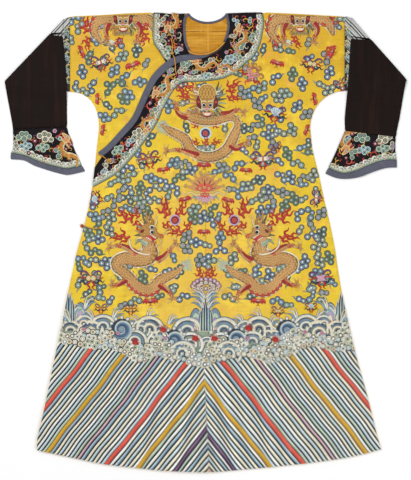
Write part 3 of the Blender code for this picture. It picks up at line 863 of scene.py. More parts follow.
class Nodes:
    """A node tree that is written as calls and expressions."""

    def node(self, kind, settings=None, inputs=None, output=0):
        node = self.tree.nodes.new(kind)
        for name, value in (settings or {}).items():
            setattr(node, name, value)
        for name, value in (inputs or {}).items():
            if isinstance(value, Value):
                self.tree.links.new(value.socket, node.inputs[name])
            elif value is not None:
                node.inputs[name].default_value = value
        return Value(self, node.outputs[output])

    def vector(self, operation, *terms, output=0):
        return self.node("ShaderNodeVectorMath", {"operation": operation}, dict(enumerate(terms)), output)

    def scaled(self, vector, scale):
        return self.node("ShaderNodeVectorMath", {"operation": "SCALE"}, {0: vector, "Scale": scale})

    def mix(self, factor, first, second):
        inputs = {"Factor": factor}
        for name, colour in ((6, first), (7, second)):
            inputs[name] = colour if isinstance(colour, Value) else (*colour, 1)
        return self.node("ShaderNodeMix", {"data_type": "RGBA"}, inputs, 2)


class Look(Nodes):
    """A material built on one Principled shader."""

    def __init__(self, name, **constants):
        self.material = bpy.data.materials.new(name)
        self.material.use_nodes = True
        self.tree = self.material.node_tree
        self.shader = self.tree.nodes["Principled BSDF"]
        for socket, value in constants.items():
            self.shader.inputs[socket.replace("_", " ")].default_value = value
        self.place = self.node("ShaderNodeTexCoord", output="Object")

    def axes(self, vector=None):
        split = self.node("ShaderNodeSeparateXYZ", None, {0: vector or self.place})
        return [Value(self, socket) for socket in split.socket.node.outputs]

    def stretched(self, scale, turn=0.0, vector=None):
        """Object coordinates with their own scale along each axis, turned about Z first."""
        inputs = {"Vector": vector or self.place, "Rotation": (0, 0, turn)}
        mapping = self.node("ShaderNodeMapping", {"vector_type": "POINT"}, inputs)
        return self.vector("MULTIPLY", mapping, scale)

    def noise(self, scale, detail=2.0, vector=None, rough=0.5):
        inputs = {"Vector": vector or self.place, "Scale": scale, "Detail": detail, "Roughness": rough}
        return self.node("ShaderNodeTexNoise", None, inputs)

    def finish(self, colour, roughness, height=None, depth=0.0003, metallic=None):
        for name, value in (("Base Color", colour), ("Roughness", roughness), ("Metallic", metallic)):
            if value is not None:
                self.tree.links.new(value.socket, self.shader.inputs[name])
        if height is not None:
            bump = self.node("ShaderNodeBump", None, {"Height": height, "Distance": depth})
            self.tree.links.new(bump.socket, self.shader.inputs["Normal"])
        return self.material


def woven(look, pitch, turn=0.0, slub=1.0, vector=None):
    """A plain weave: its height, and the uneven brightness of its threads, round 1."""
    x, y, _ = look.axes(look.stretched((1, 1, 1), turn, vector))
    height = (x * (TURN / pitch)).wave() * (y * (TURN / pitch)).wave()
    weft = look.noise(1.0, 2.0, look.stretched((14, 1 / pitch / 2.3, 14), turn, vector))
    warp = look.noise(1.0, 2.0, look.stretched((1 / pitch / 2.1, 11, 11), turn, vector))
    uneven = 1 + (weft - 0.5) * (0.30 * slub) + (warp - 0.5) * (0.18 * slub)
    return height * 0.5 + weft * 0.9, uneven


def yellow_silk(silks):
    look = Look("yellow satin silk", Sheen_Weight=0.12, Sheen_Roughness=0.4, Specular_IOR_Level=0.3)
    x, y, _ = look.axes()
    height, uneven = woven(look, 0.0016)
    cloud = look.noise(3.2, 3.0) - 0.5
    middle = ((x + cloud * 0.3).size()).between(0.36, 0.1) * (y + cloud * 0.5).between(0.3, 0.16)
    colour = look.mix(middle * 0.5, silks.yellow, srgb(226, 184, 84))
    shoulder = (y + cloud * 0.4).between(0.26, 0.6)
    colour = look.mix(shoulder * 0.65, colour, silks.gold)
    pale = look.noise(14.0, 5.0, rough=0.65).between(0.48, 0.66)
    colour = look.mix(pale * 0.6, colour, srgb(246, 214, 64))
    soiled = look.noise(17.0, 5.0, rough=0.7).between(0.52, 0.68)
    colour = look.mix(soiled * 0.6, colour, srgb(196, 146, 44))
    peach = look.noise(25.0, 4.0, rough=0.65).between(0.54, 0.68)
    colour = look.mix(peach * 0.55, colour, srgb(232, 160, 78))
    colour = look.scaled(colour, uneven)
    wrinkle = look.noise(1.0, 3.0, look.stretched((9, 42, 20), 0.12))
    rough = 0.47 + (wrinkle - 0.5) * 0.2 + (uneven - 1) * 0.4
    return look.finish(colour, rough, height * 0.08 + wrinkle * 3.2, 0.0011)


def collar_silk(silks):
    look = Look("blue-black satin", Sheen_Weight=0.0, Specular_IOR_Level=0.12)
    height, uneven = woven(look, 0.0014, 0.4)
    worn = look.noise(24.0, 4.0, rough=0.6).between(0.5, 0.8)
    colour = look.mix(worn * 0.4, silks.collar, srgb(36, 24, 34))
    x, y, _ = look.axes()
    facing = look.axes(look.node("ShaderNodeNewGeometry", output="Normal"))[2]
    inside = x.size().between(0.067, 0.066) * y.between(0.65, 0.652) * facing.between(0.0, 0.1)
    colour = look.mix(inside, colour, silks.lining)
    return look.finish(look.scaled(colour, uneven), 0.5 + (uneven - 1) * 0.5, height, 0.00025)


def binding_satin(silks):
    look = Look("grey binding satin", Sheen_Weight=0.2, Sheen_Roughness=0.35, Specular_IOR_Level=0.5)
    height, uneven = woven(look, 0.0017, math.radians(45), 1.3)
    soft = look.noise(9.0, 3.0).between(0.3, 0.7)
    worn = look.noise(70.0, 4.0, rough=0.7).between(0.55, 0.75)
    colour = look.mix(soft, silks.binding, srgb(74, 74, 92))
    colour = look.mix(worn * 0.5, colour, srgb(116, 114, 130))
    x, y, _ = look.axes()
    covered = x.between(0.002, 0.014) * x.between(0.1, 0.09) * y.between(0.636, 0.624)
    colour = look.mix(covered * 0.92, colour, srgb(24, 18, 26))
    return look.finish(look.scaled(colour, uneven), 0.42 + worn * 0.2, height, 0.00035)


def lining_silk(silks):
    look = Look("plain gold lining", Sheen_Weight=0.1, Sheen_Roughness=0.5, Specular_IOR_Level=0.2)
    x, y, _ = look.axes()
    height, uneven = woven(look, 0.0022, 0.0, 1.9)
    shine = look.noise(1.0, 3.0, look.stretched((14, 120, 14)))
    colour = look.mix(shine.between(0.35, 0.7), silks.lining, srgb(214, 156, 56))
    # Painted shade: the lining is darkened along its horizontal crease, where the bump also dents it.
    crease = ((y - 0.6575) / 0.0016).size().between(1.0, 0.0)
    crease = crease * look.noise(60.0).between(0.3, 0.55)
    colour = look.mix(crease, colour, srgb(128, 74, 18))
    # Painted shade: darker towards the lining's lower edge, where it goes under the front's edge.
    below = (y + (look.noise(26.0) - 0.5) * 0.02).between(0.612, 0.596)
    colour = look.mix(below * 0.55, colour, srgb(196, 128, 30))
    seam = ((x - 0.0068) / 0.0013).size().between(1.0, 0.0)
    colour = look.mix(seam * 0.8, colour, srgb(252, 208, 96))
    return look.finish(look.scaled(colour, uneven), 0.55 + (uneven - 1) * 0.3, height - crease * 3, 0.0004)


def sleeve_silk(silks):
    look = Look("plain dark silk", Sheen_Weight=0.0, Specular_IOR_Level=0.08)
    height, uneven = woven(look, 0.0018, 0.0, 1.6)
    streak = look.noise(1.0, 4.0, look.stretched((46, 4, 10)))
    blotch = look.noise(11.0, 3.0).between(0.35, 0.75)
    colour = look.mix(streak.between(0.42, 0.72) * 0.7, silks.sleeve, srgb(44, 27, 20))
    colour = look.mix(blotch * 0.35, colour, srgb(18, 10, 9))
    rough = 0.6 + (streak - 0.5) * 0.3
    return look.finish(look.scaled(colour, uneven), rough, height * 0.2 + streak * 2.0, 0.0008)


def band_brocade(silks):
    look = Look("striped band brocade", Sheen_Weight=0.1, Specular_IOR_Level=0.5)
    x, y, _ = look.axes()
    height, uneven = woven(look, 0.0015, 0.8, 1.4)
    over = x.size() * math.sin(BAND_SLANT) + y * math.cos(BAND_SLANT)
    over = over + (look.noise(22.0) - 0.5) * 0.004
    wide = (over * (TURN / WIDE_STRIPE)).wave()
    thin = (over * (TURN / THIN_STRIPE) + 1.0).wave()
    colour = look.mix(wide.between(0.1, 0.45), srgb(16, 14, 18), silks.silver)
    colour = look.mix(thin.between(0.3, 0.75) * 0.75, colour, srgb(126, 128, 132))
    colour = look.mix((wide * -1).between(0.86, 1.0), colour, srgb(236, 236, 228))
    shown = x.size().between(0.4405, 0.4415).at_least((y + x.size() * 0.9).between(1.052, 1.062))
    worn = look.noise(90.0).between(0.45, 0.7) * 0.3
    dark = look.scaled(look.mix(worn, srgb(18, 16, 20), srgb(70, 74, 66)), uneven)
    colour = look.scaled(look.mix(shown, dark, colour), uneven)
    return look.finish(colour, 0.42 + (uneven - 1), height + wide * 2, 0.0004)


def floss():
    """Embroidery silk. Each shape carries its colour, the way across its stitches and its share of gold."""
    look = Look("embroidery floss", Sheen_Weight=0.2, Sheen_Roughness=0.35, Specular_IOR_Level=0.45)
    thread = look.node("ShaderNodeAttribute", {"attribute_name": "thread"}, output="Color")
    across = look.node("ShaderNodeAttribute", {"attribute_name": "across"}, output="Vector")
    gilt = look.node("ShaderNodeAttribute", {"attribute_name": "gilt"}, output="Fac")
    over = look.vector("DOT_PRODUCT", look.place, across, output="Value")
    sideways = look.vector("CROSS_PRODUCT", across, (0, 0, 1))
    along = look.vector("DOT_PRODUCT", look.place, sideways, output="Value")
    pitch = bpy.context.scene.robe_thread.pitch
    stitch = (over * (TURN / pitch)).wave()
    cell = look.node("ShaderNodeCombineXYZ", None, {"X": over / pitch / 2.2, "Y": along * 34})
    varied = look.noise(1.0, 2.0, cell)
    aged = look.noise(38.0, 4.0, rough=0.6)
    # The stitch term is painted light and shade across each stitch; the other terms vary the threads' own
    # tone and fading.
    bright = 1 + (varied - 0.5) * 0.5 + stitch * 0.05 + (aged - 0.5) * 0.25
    colour = look.mix(aged.between(0.6, 0.82) * 0.25, thread, srgb(214, 190, 130))
    glint = (over * (TURN / COUCHING) + (along * (TURN / COUCHING_WAVE)).wave() * 1.4).wave()
    colour = look.mix(gilt * glint.between(0.2, 0.9) * 0.45, colour, srgb(246, 214, 138))
    rough = 0.45 + (varied - 0.5) * 0.25 - gilt * 0.1
    height = stitch * 0.6 + varied * 0.6 + gilt * glint * 0.9
    return look.finish(look.scaled(colour, bright), rough, height, 0.00028, gilt * 0.35)


def cord_silk(silks):
    look = Look("yellow silk cord", Sheen_Weight=0.3, Sheen_Roughness=0.4)
    fibre = look.noise(900.0, 3.0)
    colour = look.mix(look.noise(120.0).between(0.3, 0.7), silks.cord, srgb(196, 132, 28))
    return look.finish(look.scaled(colour, 0.75 + fibre * 0.5), 0.4 + fibre * 0.25, fibre, 0.0003)


def gilt_button(silks):
    look = Look("worn gilt", Specular_IOR_Level=0.6)
    z = look.axes()[2]
    worn = look.noise(420.0, 4.0, rough=0.65).between(0.45, 0.62)
    band = ((z - 0.006) / 0.0009).size().between(1.2, 0.6)
    colour = look.mix(worn, silks.button, srgb(122, 34, 26))
    colour = look.mix(band * 0.8, colour, srgb(236, 190, 96))
    return look.finish(colour, 0.3 + worn * 0.3, worn * -1, 0.0002, 0.75 - worn * 0.5)


def pale_floor(stage):
    look = Look("matte floor", Specular_IOR_Level=0.15)
    grain = look.noise(260.0, 3.0)
    colour = look.scaled(look.mix(look.noise(1.3), stage.floor, srgb(252, 252, 253)), 0.995 + grain * 0.01)
    return look.finish(colour, 0.85 + grain * 0.1, grain, 0.00002)


# ---- Trees that follow a path or repeat a shape ----
class Maker(Nodes):
    """A Geometry Nodes tree with named inputs, which ends in Realize Instances and Set Material."""

    def __init__(self, name, **inputs):
        self.tree = bpy.data.node_groups.new(name, "GeometryNodeTree")
        face = self.tree.interface
        face.new_socket("Geometry", in_out="INPUT", socket_type="NodeSocketGeometry")
        for label, (kind, default) in inputs.items():
            socket = face.new_socket(label, in_out="INPUT", socket_type="NodeSocket" + kind)
            if default is not None:
                socket.default_value = default
        face.new_socket("Material", in_out="INPUT", socket_type="NodeSocketMaterial")
        face.new_socket("Geometry", in_out="OUTPUT", socket_type="NodeSocketGeometry")
        group = self.tree.nodes.new("NodeGroupInput")
        self.given = {socket.name: Value(self, socket) for socket in group.outputs if socket.name}

    def read(self, name, kind="FLOAT"):
        """A named attribute of the geometry."""
        return self.node("GeometryNodeInputNamedAttribute", {"data_type": kind}, {"Name": name})

    def store(self, geometry, name, value, kind="FLOAT"):
        inputs = {"Geometry": geometry, "Name": name, "Value": value}
        return self.node("GeometryNodeStoreNamedAttribute", {"data_type": kind, "domain": "POINT"}, inputs)

    def raise_by(self, geometry, height):
        lift = self.node("ShaderNodeCombineXYZ", None, {"Z": height})
        return self.node("GeometryNodeSetPosition", None, {"Geometry": geometry, "Offset": lift})

    def line(self):
        """The lines that the tree is given."""
        return self.node("GeometryNodeMeshToCurve", None, {"Mesh": self.given["Geometry"]})

    def end_in_colour(self, geometry, *shares):
        """Ends with the colour of the threads: one of three, with the others laid over by their shares."""
        first, *others = (self.read(name, "FLOAT_COLOR") for name in shares[::2])
        for share, other in zip(shares[1::2], others):
            first = self.mix(share, first, other)
        return self.end(self.store(geometry, "thread", first, "FLOAT_COLOR"))

    def end(self, geometry):
        real = self.node("GeometryNodeRealizeInstances", None, {"Geometry": geometry})
        inputs = {"Geometry": real, "Material": self.given["Material"]}
        dressed = self.node("GeometryNodeSetMaterial", None, inputs)
        out = self.tree.nodes.new("NodeGroupOutput")
        self.tree.links.new(dressed.socket, out.inputs[0])
        return self.tree


def ribbon_tree():
    """Turns lines into satin ribbons with a rounded section and three colours side by side."""
    maker = Maker("satin ribbon", Lanes=("Int", 5), Overhang=("Float", 0.12))
    level = maker.node("GeometryNodeSetCurveNormal", {"mode": "Z_UP"}, {"Curve": maker.line()})
    marked = maker.store(level, "across", maker.node("GeometryNodeInputTangent"), "FLOAT_VECTOR")
    line = maker.node("GeometryNodeCurvePrimitiveLine", None, {"Start": (0.5, 0, 0), "End": (-0.5, 0, 0)})
    lanes = maker.node("GeometryNodeResampleCurve", None, {"Curve": line, "Count": maker.given["Lanes"]})
    profile = maker.store(lanes, "lane", maker.node("GeometryNodeSplineParameter"))
    inputs = {"Curve": marked, "Profile Curve": profile, "Scale": maker.read("width")}
    body = maker.node("GeometryNodeCurveToMesh", None, inputs)
    lane, edge = maker.read("lane"), maker.read("edge")
    out = (lane * 2 - 1).power(4)
    height = maker.read("base") + maker.read("bulge") * (1 - out) - out * maker.given["Overhang"]
    left = ((edge - lane) / edge).at_least(0.0)
    right = ((edge + lane - 1) / edge).at_least(0.0)
    return maker.end_in_colour(maker.raise_by(body, height), "middle", left, "left", right, "right")


def repeat_tree():
    """Puts a small shape at every point, turned and scaled there, and gives it the point's three colours."""
    maker = Maker("repeated shape", Shape=("Object", None))
    shape = maker.node("GeometryNodeObjectInfo", None, {"Object": maker.given["Shape"]}, "Geometry")
    turn = maker.node("ShaderNodeCombineXYZ", None, {"Z": maker.read("turn")})
    points, size = maker.given["Geometry"], maker.read("size")
    inputs = {"Points": points, "Instance": shape, "Rotation": turn, "Scale": size}
    copies = maker.node("GeometryNodeInstanceOnPoints", None, inputs)
    real = maker.node("GeometryNodeRealizeInstances", None, {"Geometry": copies})
    raised = maker.raise_by(real, maker.read("base") + maker.read("bulge") * maker.read("crown"))
    tone = maker.read("tone")
    inner = (tone * 2 - 1).at_least(0.0)
    return maker.end_in_colour(raised, "left", tone * 2, "middle", inner, "right")


def tree_named(name, make):
    return bpy.data.node_groups.get(name) or make()


FIELDS = {"FLOAT": "value", "FLOAT_VECTOR": "vector", "FLOAT_COLOR": "color"}


def set_attribute(mesh, name, values):
    """Stores one number, three or four for each point of the mesh."""
    values = np.ascontiguousarray(values, np.float32)
    kind = {1: "FLOAT", 3: "FLOAT_VECTOR", 4: "FLOAT_COLOR"}[1 if values.ndim == 1 else values.shape[1]]
    layer = mesh.attributes.new(name, kind, "POINT")
    layer.data.foreach_set(FIELDS[kind], values.ravel())


def values_of(mesh, name, width):
    """A point attribute of the mesh as an array, or zeros where the mesh has none."""
    found = np.zeros(len(mesh.vertices) * width, np.float32)
    layer = mesh.attributes.get(name)
    if layer:
        layer.data.foreach_get(FIELDS[layer.data_type], found)
    return found.reshape(-1, width) if width > 1 else found


def put(name, data):
    """A new object in the scene."""
    placed = bpy.data.objects.new(name, data)
    bpy.context.scene.collection.objects.link(placed)
    return placed


def grown(points, edges, attributes, tree, **inputs):
    """The plain mesh that a tree makes from points, their attributes and the edges between them."""
    mesh = bpy.data.meshes.new("drawing")
    mesh.from_pydata(points.tolist(), edges, [])
    for name, values in attributes.items():
        set_attribute(mesh, name, values)
    drawing = put("drawing", mesh)
    modifier = drawing.modifiers.new("needle", "NODES")
    modifier.node_group = tree
    sockets = {item.name: item.identifier for item in tree.interface.items_tree if item.in_out == "INPUT"}
    for name, value in inputs.items():
        modifier[sockets[name]] = value
    graph = bpy.context.evaluated_depsgraph_get()
    made = bpy.data.meshes.new_from_object(drawing.evaluated_get(graph), depsgraph=graph)
    drawing.modifiers.remove(modifier)
    bpy.data.objects.remove(drawing)
    return made


# ---- Needlework ----
TAPERS = {
    "none": ((0, 1), (1, 1)),
    "end": ((0, 0.8), (0.25, 1), (0.6, 0.75), (0.85, 0.4), (1, 0.05)),
    "both": ((0, 0.08), (0.2, 0.75), (0.5, 1), (0.8, 0.6), (1, 0.05)),
}
LANES, WIDE_LANES = 5, 7  # points across a ribbon
PATCH_STEP, FIELD_STEP = 11, 9  # between the points on a patch's outline, and inside it


def three(colours):
    """Left, middle and right colour, from one colour, from an edge and a core, or from all three."""
    if isinstance(colours, str):
        colours = colours.split()
    colours = [SILK[colour] if isinstance(colour, str) else colour for colour in colours]
    right = colours[2] if len(colours) == 3 else colours[0]
    return np.array([(*colour, 1) for colour in (colours[0], colours[len(colours) // 2], right)])


def distances(path):
    """How far along a path each of its points lies."""
    return np.concatenate(([0], np.cumsum(lengths(np.diff(path[:, :2], axis=0)))))


def without_crumbs(faces, count, least=6):
    """Leaves out the loose bits, of fewer triangles than the smallest shape, that a cut leaves behind."""
    part, joined = None, np.arange(count)
    while part is None or (joined != part).any():
        part, lowest = joined, joined[faces].min(axis=1)
        joined = part.copy()
        for corner in faces.T:
            np.minimum.at(joined, corner, lowest)
        joined = joined[joined]
    of_face = part[faces[:, 0]]
    return faces[np.bincount(of_face, minlength=count)[of_face] >= least]


def turned_up(points, faces, least=-1):
    """The triangles with their upper sides up, without those smaller than the least."""
    corners = points[faces][:, :, :2]
    area = twice_area(corners[:, 1] - corners[:, 0], corners[:, 2] - corners[:, 0])
    faces, area = faces[np.abs(area) > least], area[np.abs(area) > least]
    faces[area < 0] = faces[area < 0][:, ::-1]
    return faces


class Needlework:
    """Shapes of coloured thread, drawn flat in millimetres, to be laid on one panel of the robe."""

    def __init__(self):
        self.lines, self.wide_lines, self.patches = [], [], []
        self.shapes = {"lobe": [], "scale": [], "fin": [], "dot": []}

    def ribbon(self, rows, width, colours, base, bulge, gilt, edge, taper, steps, wide=False):
        path = through(rows, steps)
        along = distances(path)
        share = np.interp(along / max(along[-1], 1e-6), *np.array(TAPERS[taper]).T)
        if path.shape[1] > 2:
            share = share * path[:, 2]
        row = {"width": width * share, "bulge": bulge * np.minimum(share, 1)}
        for name, value in (("base", base), ("gilt", gilt), ("edge", edge)):
            row[name] = np.full(len(path), value)
        for name, colour in zip(("left", "middle", "right"), three(colours)):
            row[name] = np.tile(colour, (len(path), 1))
        (self.wide_lines if wide else self.lines).append((path[:, :2], row))

    def shape(self, kind, x, y, size, turn, colours, base, bulge, gilt):
        across = (math.cos(turn), math.sin(turn), 0)
        row = (x, y, size, turn, base, bulge, gilt, *three(colours).ravel(), *across)
        self.shapes[kind].append(row)

    def patch(self, outline, colours, base, bulge, gilt, turn, rim=0.5):
        """A filled outline with a sloping rim in its own colour."""
        edge, fill, _ = three(colours)
        outer = finer(inset(np.asarray(outline, float), 0.0, 0.2), PATCH_STEP)
        inner = inset(outer, rim, 0.0)
        if len(inner) != len(outer):
            return
        count = len(outer)
        ring = np.arange(count)
        after = np.roll(ring, -1)
        sides = [np.arange(a + 4, b, FIELD_STEP) for a, b in zip(inner.min(axis=0), inner.max(axis=0))]
        field = np.stack(np.meshgrid(*sides), axis=-1).reshape(-1, 2)
        field = field[within(field, inner)]
        field = field[nearest(field, inner)[1] > 3]
        filled, top_faces = triangulate(inner, field, [])
        top_faces = turned_up(filled, top_faces)
        points = np.concatenate((outer, inner, filled))
        heights = np.full(len(points), base + bulge)
        heights[:count] = base - 0.12
        faces = np.concatenate((
            columns(ring, after, after + count), columns(ring, after + count, ring + count),
            top_faces + 2 * count,
        ))
        colour = np.repeat((edge, fill), (2 * count, len(filled)), axis=0)
        across = np.tile((-math.sin(turn), math.cos(turn), 0), (len(points), 1))
        gold = np.full(len(points), gilt)
        self.patches.append((np.column_stack((points, heights)), faces, colour, across, gold))

    def grow_lines(self, lines, lanes):
        points = np.concatenate([path for path, _ in lines])
        edges = chained([path for path, _ in lines])
        attributes = {name: np.concatenate([row[name] for _, row in lines]) for name in lines[0][1]}
        tree = tree_named("satin ribbon", ribbon_tree)
        return grown(np.column_stack((points, 0 * points[:, 0])), edges, attributes, tree, Lanes=lanes)

    def grow_shapes(self, kind):
        rows = np.array(self.shapes[kind])
        attributes = dict(zip(("size", "turn", "base", "bulge", "gilt"), rows.T[2:]))
        for name, start, end in (("left", 7, 11), ("middle", 11, 15), ("right", 15, 19), ("across", 19, 22)):
            attributes[name] = rows[:, start:end]
        points = np.column_stack((rows[:, :2], 0 * rows[:, 0]))
        shape = template(kind)
        made = grown(points, [], attributes, tree_named("repeated shape", repeat_tree), Shape=shape)
        bpy.data.objects.remove(shape)
        return made

    def gathered(self):
        """Every shape as arrays: points, triangles, colours, the way across the stitches, and gold."""
        grown_lines = ((self.lines, LANES), (self.wide_lines, WIDE_LANES))
        meshes = [self.grow_lines(lines, lanes) for lines, lanes in grown_lines if lines]
        meshes += [self.grow_shapes(kind) for kind, rows in self.shapes.items() if rows]
        parts = list(self.patches)
        for mesh in meshes:
            mesh.calc_loop_triangles()
            points = np.zeros(len(mesh.vertices) * 3, np.float32)
            mesh.vertices.foreach_get("co", points)
            faces = np.zeros(len(mesh.loop_triangles) * 3, np.int32)
            mesh.loop_triangles.foreach_get("vertices", faces)
            rest = [values_of(mesh, *column) for column in (("thread", 4), ("across", 3), ("gilt", 1))]
            parts.append((points.reshape(-1, 3), faces.reshape(-1, 3), *rest))
            bpy.data.meshes.remove(mesh)
        start, found = 0, [[], [], [], [], []]
        for points, faces, *rest in parts:
            for column, values in zip(found, (points, faces + start, *rest)):
                column.append(values)
            start += len(points)
        return [np.concatenate(column) for column in found]

    def lay(self, name, surface, outline, slot):
        """Lays the shapes on a panel: cut off at its outline, raised to its surface, as one piece."""
        points, faces, *rest = self.gathered()
        points, outline = points.astype(float), np.asarray(outline, float)
        inside = within(points[:, :2], outline)
        faces = faces[inside[faces].any(axis=1)]
        over = np.zeros(len(points), bool)
        over[faces.ravel()] = True
        over &= ~inside
        points[over, :2] = nearest(points[over, :2], outline)[0]
        faces = without_crumbs(turned_up(points, faces, 1e-4), len(points))
        used, index = np.unique(faces, return_inverse=True)
        faces, points = index.reshape(faces.shape), points[used]
        points[:, 2] += surface(points[:, 0], points[:, 1])
        mesh = bpy.data.meshes.new(name)
        mesh.from_pydata((points * MM).tolist(), [], faces.tolist())
        for label, values in zip(("thread", "across", "gilt"), rest):
            set_attribute(mesh, label, values[used])
        low, high = points[:, :2].min(axis=0), points[:, :2].max(axis=0)
        set_map(mesh, "OFBake", ((points[:, :2] - low) / (high - low).max() * 0.998 + 0.001)[faces.ravel()])
        silk = bpy.data.materials.get("embroidery floss") or floss()
        return new_piece(name, mesh, silk)


LOBE_RINGS = (  # radius outside and inside, height at both, share of the heart's colour
    (1, 0.72, 0, 0.8, 0), (0.72, 0.46, 0.8, 0.9, 0.5), (0.46, 0.3, 0.9, 1, 0.2), (0.3, 0, 1, 1, 1),
)
SMALL_SHAPES = {  # x, y, height and share of the third colour of each point, and the faces
    "scale": (
        ((-0.5, 0.5, 0.1, 0), (0, 0.62, 0.1, 0), (0.5, 0.5, 0.1, 0), (-0.56, 0, 0.5, 0), (0.56, 0, 0.5, 0),
         (-0.3, -0.48, 0.8, 1), (0.3, -0.48, 0.8, 1), (0, -0.62, 0.9, 1), (-0.26, 0.3, 0.5, 0.5),
         (0.26, 0.3, 0.5, 0.5), (-0.3, -0.02, 0.9, 0.5), (0.3, -0.02, 0.9, 0.5), (0, -0.36, 1, 0.5)),
        ((3, 5, 12, 10), (5, 7, 6, 12), (12, 6, 4, 11), (0, 3, 10, 8), (4, 2, 9, 11), (2, 1, 9), (1, 0, 8),
         (1, 8, 9), (8, 10, 12, 11, 9)),
    ),
    "fin": (
        ((-0.5, 0, 0.2, 0), (0.5, 0, 0.2, 0), (0.42, 0.5, 0.3, 0), (0.1, 0.95, 0.3, 0), (-0.35, 1.3, 0.2, 0),
         (-0.2, 0.8, 0.3, 0), (-0.42, 0.45, 0.3, 0), (0, 0.1, 1, 1), (0, 0.6, 1, 0.6)),
        ((0, 7, 8, 6), (7, 1, 2, 8), (8, 2, 3), (8, 3, 5), (8, 5, 6), (3, 4, 5)),
    ),
    "dot": (
        [(math.cos(a), math.sin(a), 0, 0) for a in np.arange(8) * math.pi / 4] + [(0, 0, 1, 1)],
        [(i, (i + 1) % 8, 8) for i in range(8)],
    ),
}


def ringed_lobe():
    sides = bpy.context.scene.robe_thread.lobe_sides
    angles = 2 * np.pi * np.arange(sides) / sides
    points, faces = [], []
    for outer, inner, high_out, high_in, tone in LOBE_RINGS:
        start = len(points)
        for reach, high in ((outer, high_out), (inner, high_in)):
            if reach:
                points += [(reach * np.cos(a), reach * np.sin(a), high, tone) for a in angles]
        if inner:
            around = [(i, (i + 1) % sides) for i in range(sides)]
            faces += [(start + i, start + j, start + sides + j, start + sides + i) for i, j in around]
        else:
            faces.append(tuple(range(start, start + sides)))
    return points, faces


def template(kind):
    """The small shape that is repeated: a ringed lobe, a dragon's scale, a fin of its back, or a dot."""
    points, faces = ringed_lobe() if kind == "lobe" else SMALL_SHAPES[kind]
    mesh = bpy.data.meshes.new(kind)
    mesh.from_pydata([(x, y, 0) for x, y, _, _ in points], [], faces)
    for name, column in (("crown", 2), ("tone", 3)):
        set_attribute(mesh, name, np.array(points)[:, column])
    return put(kind, mesh)


class Spot:
    """A place on the cloth. What is drawn from it is scaled, turned and mirrored with it."""

    def __init__(self, work, x=0, y=0, size=1, turn=0, flip=1, base=0):
        self.work, self.x, self.y, self.size, self.flip, self.base = work, x, y, size, flip, base
        self.turn = math.radians(turn)

    def move(self, points):
        points = np.array(points, float)
        c, s = math.cos(self.turn), math.sin(self.turn)
        x, y = points[:, 0] * self.size * self.flip, points[:, 1] * self.size
        points[:, 0], points[:, 1] = self.x + x * c - y * s, self.y + x * s + y * c
        return points

    def ribbon(
        self, rows, width, colours, base=0.3, bulge=0.5, gilt=0, edge=0.26, taper="end", steps=4, wide=False
    ):
        if self.flip < 0:
            colours = three(colours)[::-1, :3]
        base += self.base
        width *= self.size
        self.work.ribbon(self.move(rows), width, colours, base, bulge, gilt, edge, taper, steps, wide)

    def patch(self, outline, colours, base=0.3, bulge=0.5, gilt=0, curved=2, rim=0.5):
        if curved:
            outline = through([*outline, outline[0]], curved)[:-1]
        self.work.patch(self.move(outline), colours, base + self.base, bulge, gilt, self.turn, rim)

    def shape(self, kind, x, y, size, colours, turn=0, base=0.3, bulge=0.5, gilt=0):
        turned = self.turn + self.flip * math.radians(turn)
        if self.flip < 0 and kind not in ("scale", "fin"):
            turned += math.pi
        x, y = self.move([(x, y)])[0]
        self.work.shape(kind, x, y, size * self.size, turned, colours, base + self.base, bulge, gilt)

    def disc(self, x, y, size, colours, base=0.3, bulge=0.5, gilt=0):
        self.shape("lobe", x, y, size, colours, 0, base, bulge, gilt)

    def spot(self, x=0, y=0, size=1, turn=0, flip=1, base=0):
        turned = math.degrees(self.turn) + self.flip * turn
        return Spot(
            self.work, *self.move([(x, y)])[0], self.size * size, turned, self.flip * flip, self.base + base
        )

    def both(self, x=0, y=0, size=1):
        """The place and its mirror image, for what a motif has on its left and on its right."""
        return self.spot(x, y, size), self.spot(x, y, size, flip=-1)


# ---- Colours of the threads ----
SILK = {
    "red": srgb(188, 40, 30), "maroon": srgb(118, 24, 30), "pink": srgb(222, 150, 150),
    "coral": srgb(226, 92, 72), "gold": srgb(202, 156, 70), "tan": srgb(186, 132, 66),
    "brown": srgb(122, 76, 38), "straw": srgb(240, 216, 146), "cream": srgb(236, 228, 200),
    "white": srgb(242, 242, 236), "ice": srgb(196, 218, 222), "sky": srgb(142, 178, 198),
    "blue": srgb(76, 106, 138), "navy": srgb(34, 48, 92), "slate": srgb(42, 54, 72),
    "ink": srgb(18, 20, 28), "lilac": srgb(190, 166, 200), "purple": srgb(112, 70, 120),
    "mint": srgb(186, 206, 182), "leaf": srgb(96, 126, 74), "moss": srgb(72, 88, 62),
    "orange": srgb(222, 122, 40), "honey": srgb(216, 168, 44), "rose": srgb(214, 168, 188),
    "haze": srgb(148, 164, 142), "steel": srgb(122, 146, 164), "teal": srgb(98, 126, 114),
    "deep": srgb(54, 68, 68), "stone": srgb(200, 196, 168), "fawn": srgb(208, 148, 92),
}

# Rim, ring and heart of the cloud lobes
CLOUD_SILKS = (
    "slate haze cream", "deep steel ice", "slate teal cream", "slate steel white",
    "deep haze ice", "moss teal stone", "slate steel cream", "slate haze lilac",
)
FOAM_SILKS = (
    "slate ice cream", "cream steel white", "slate cream white", "cream haze slate",
    "deep cream tan", "cream slate white", "white stone slate",
)
DARK_SILKS = ("mint deep teal", "cream deep moss", "ice teal deep", "mint teal ink")

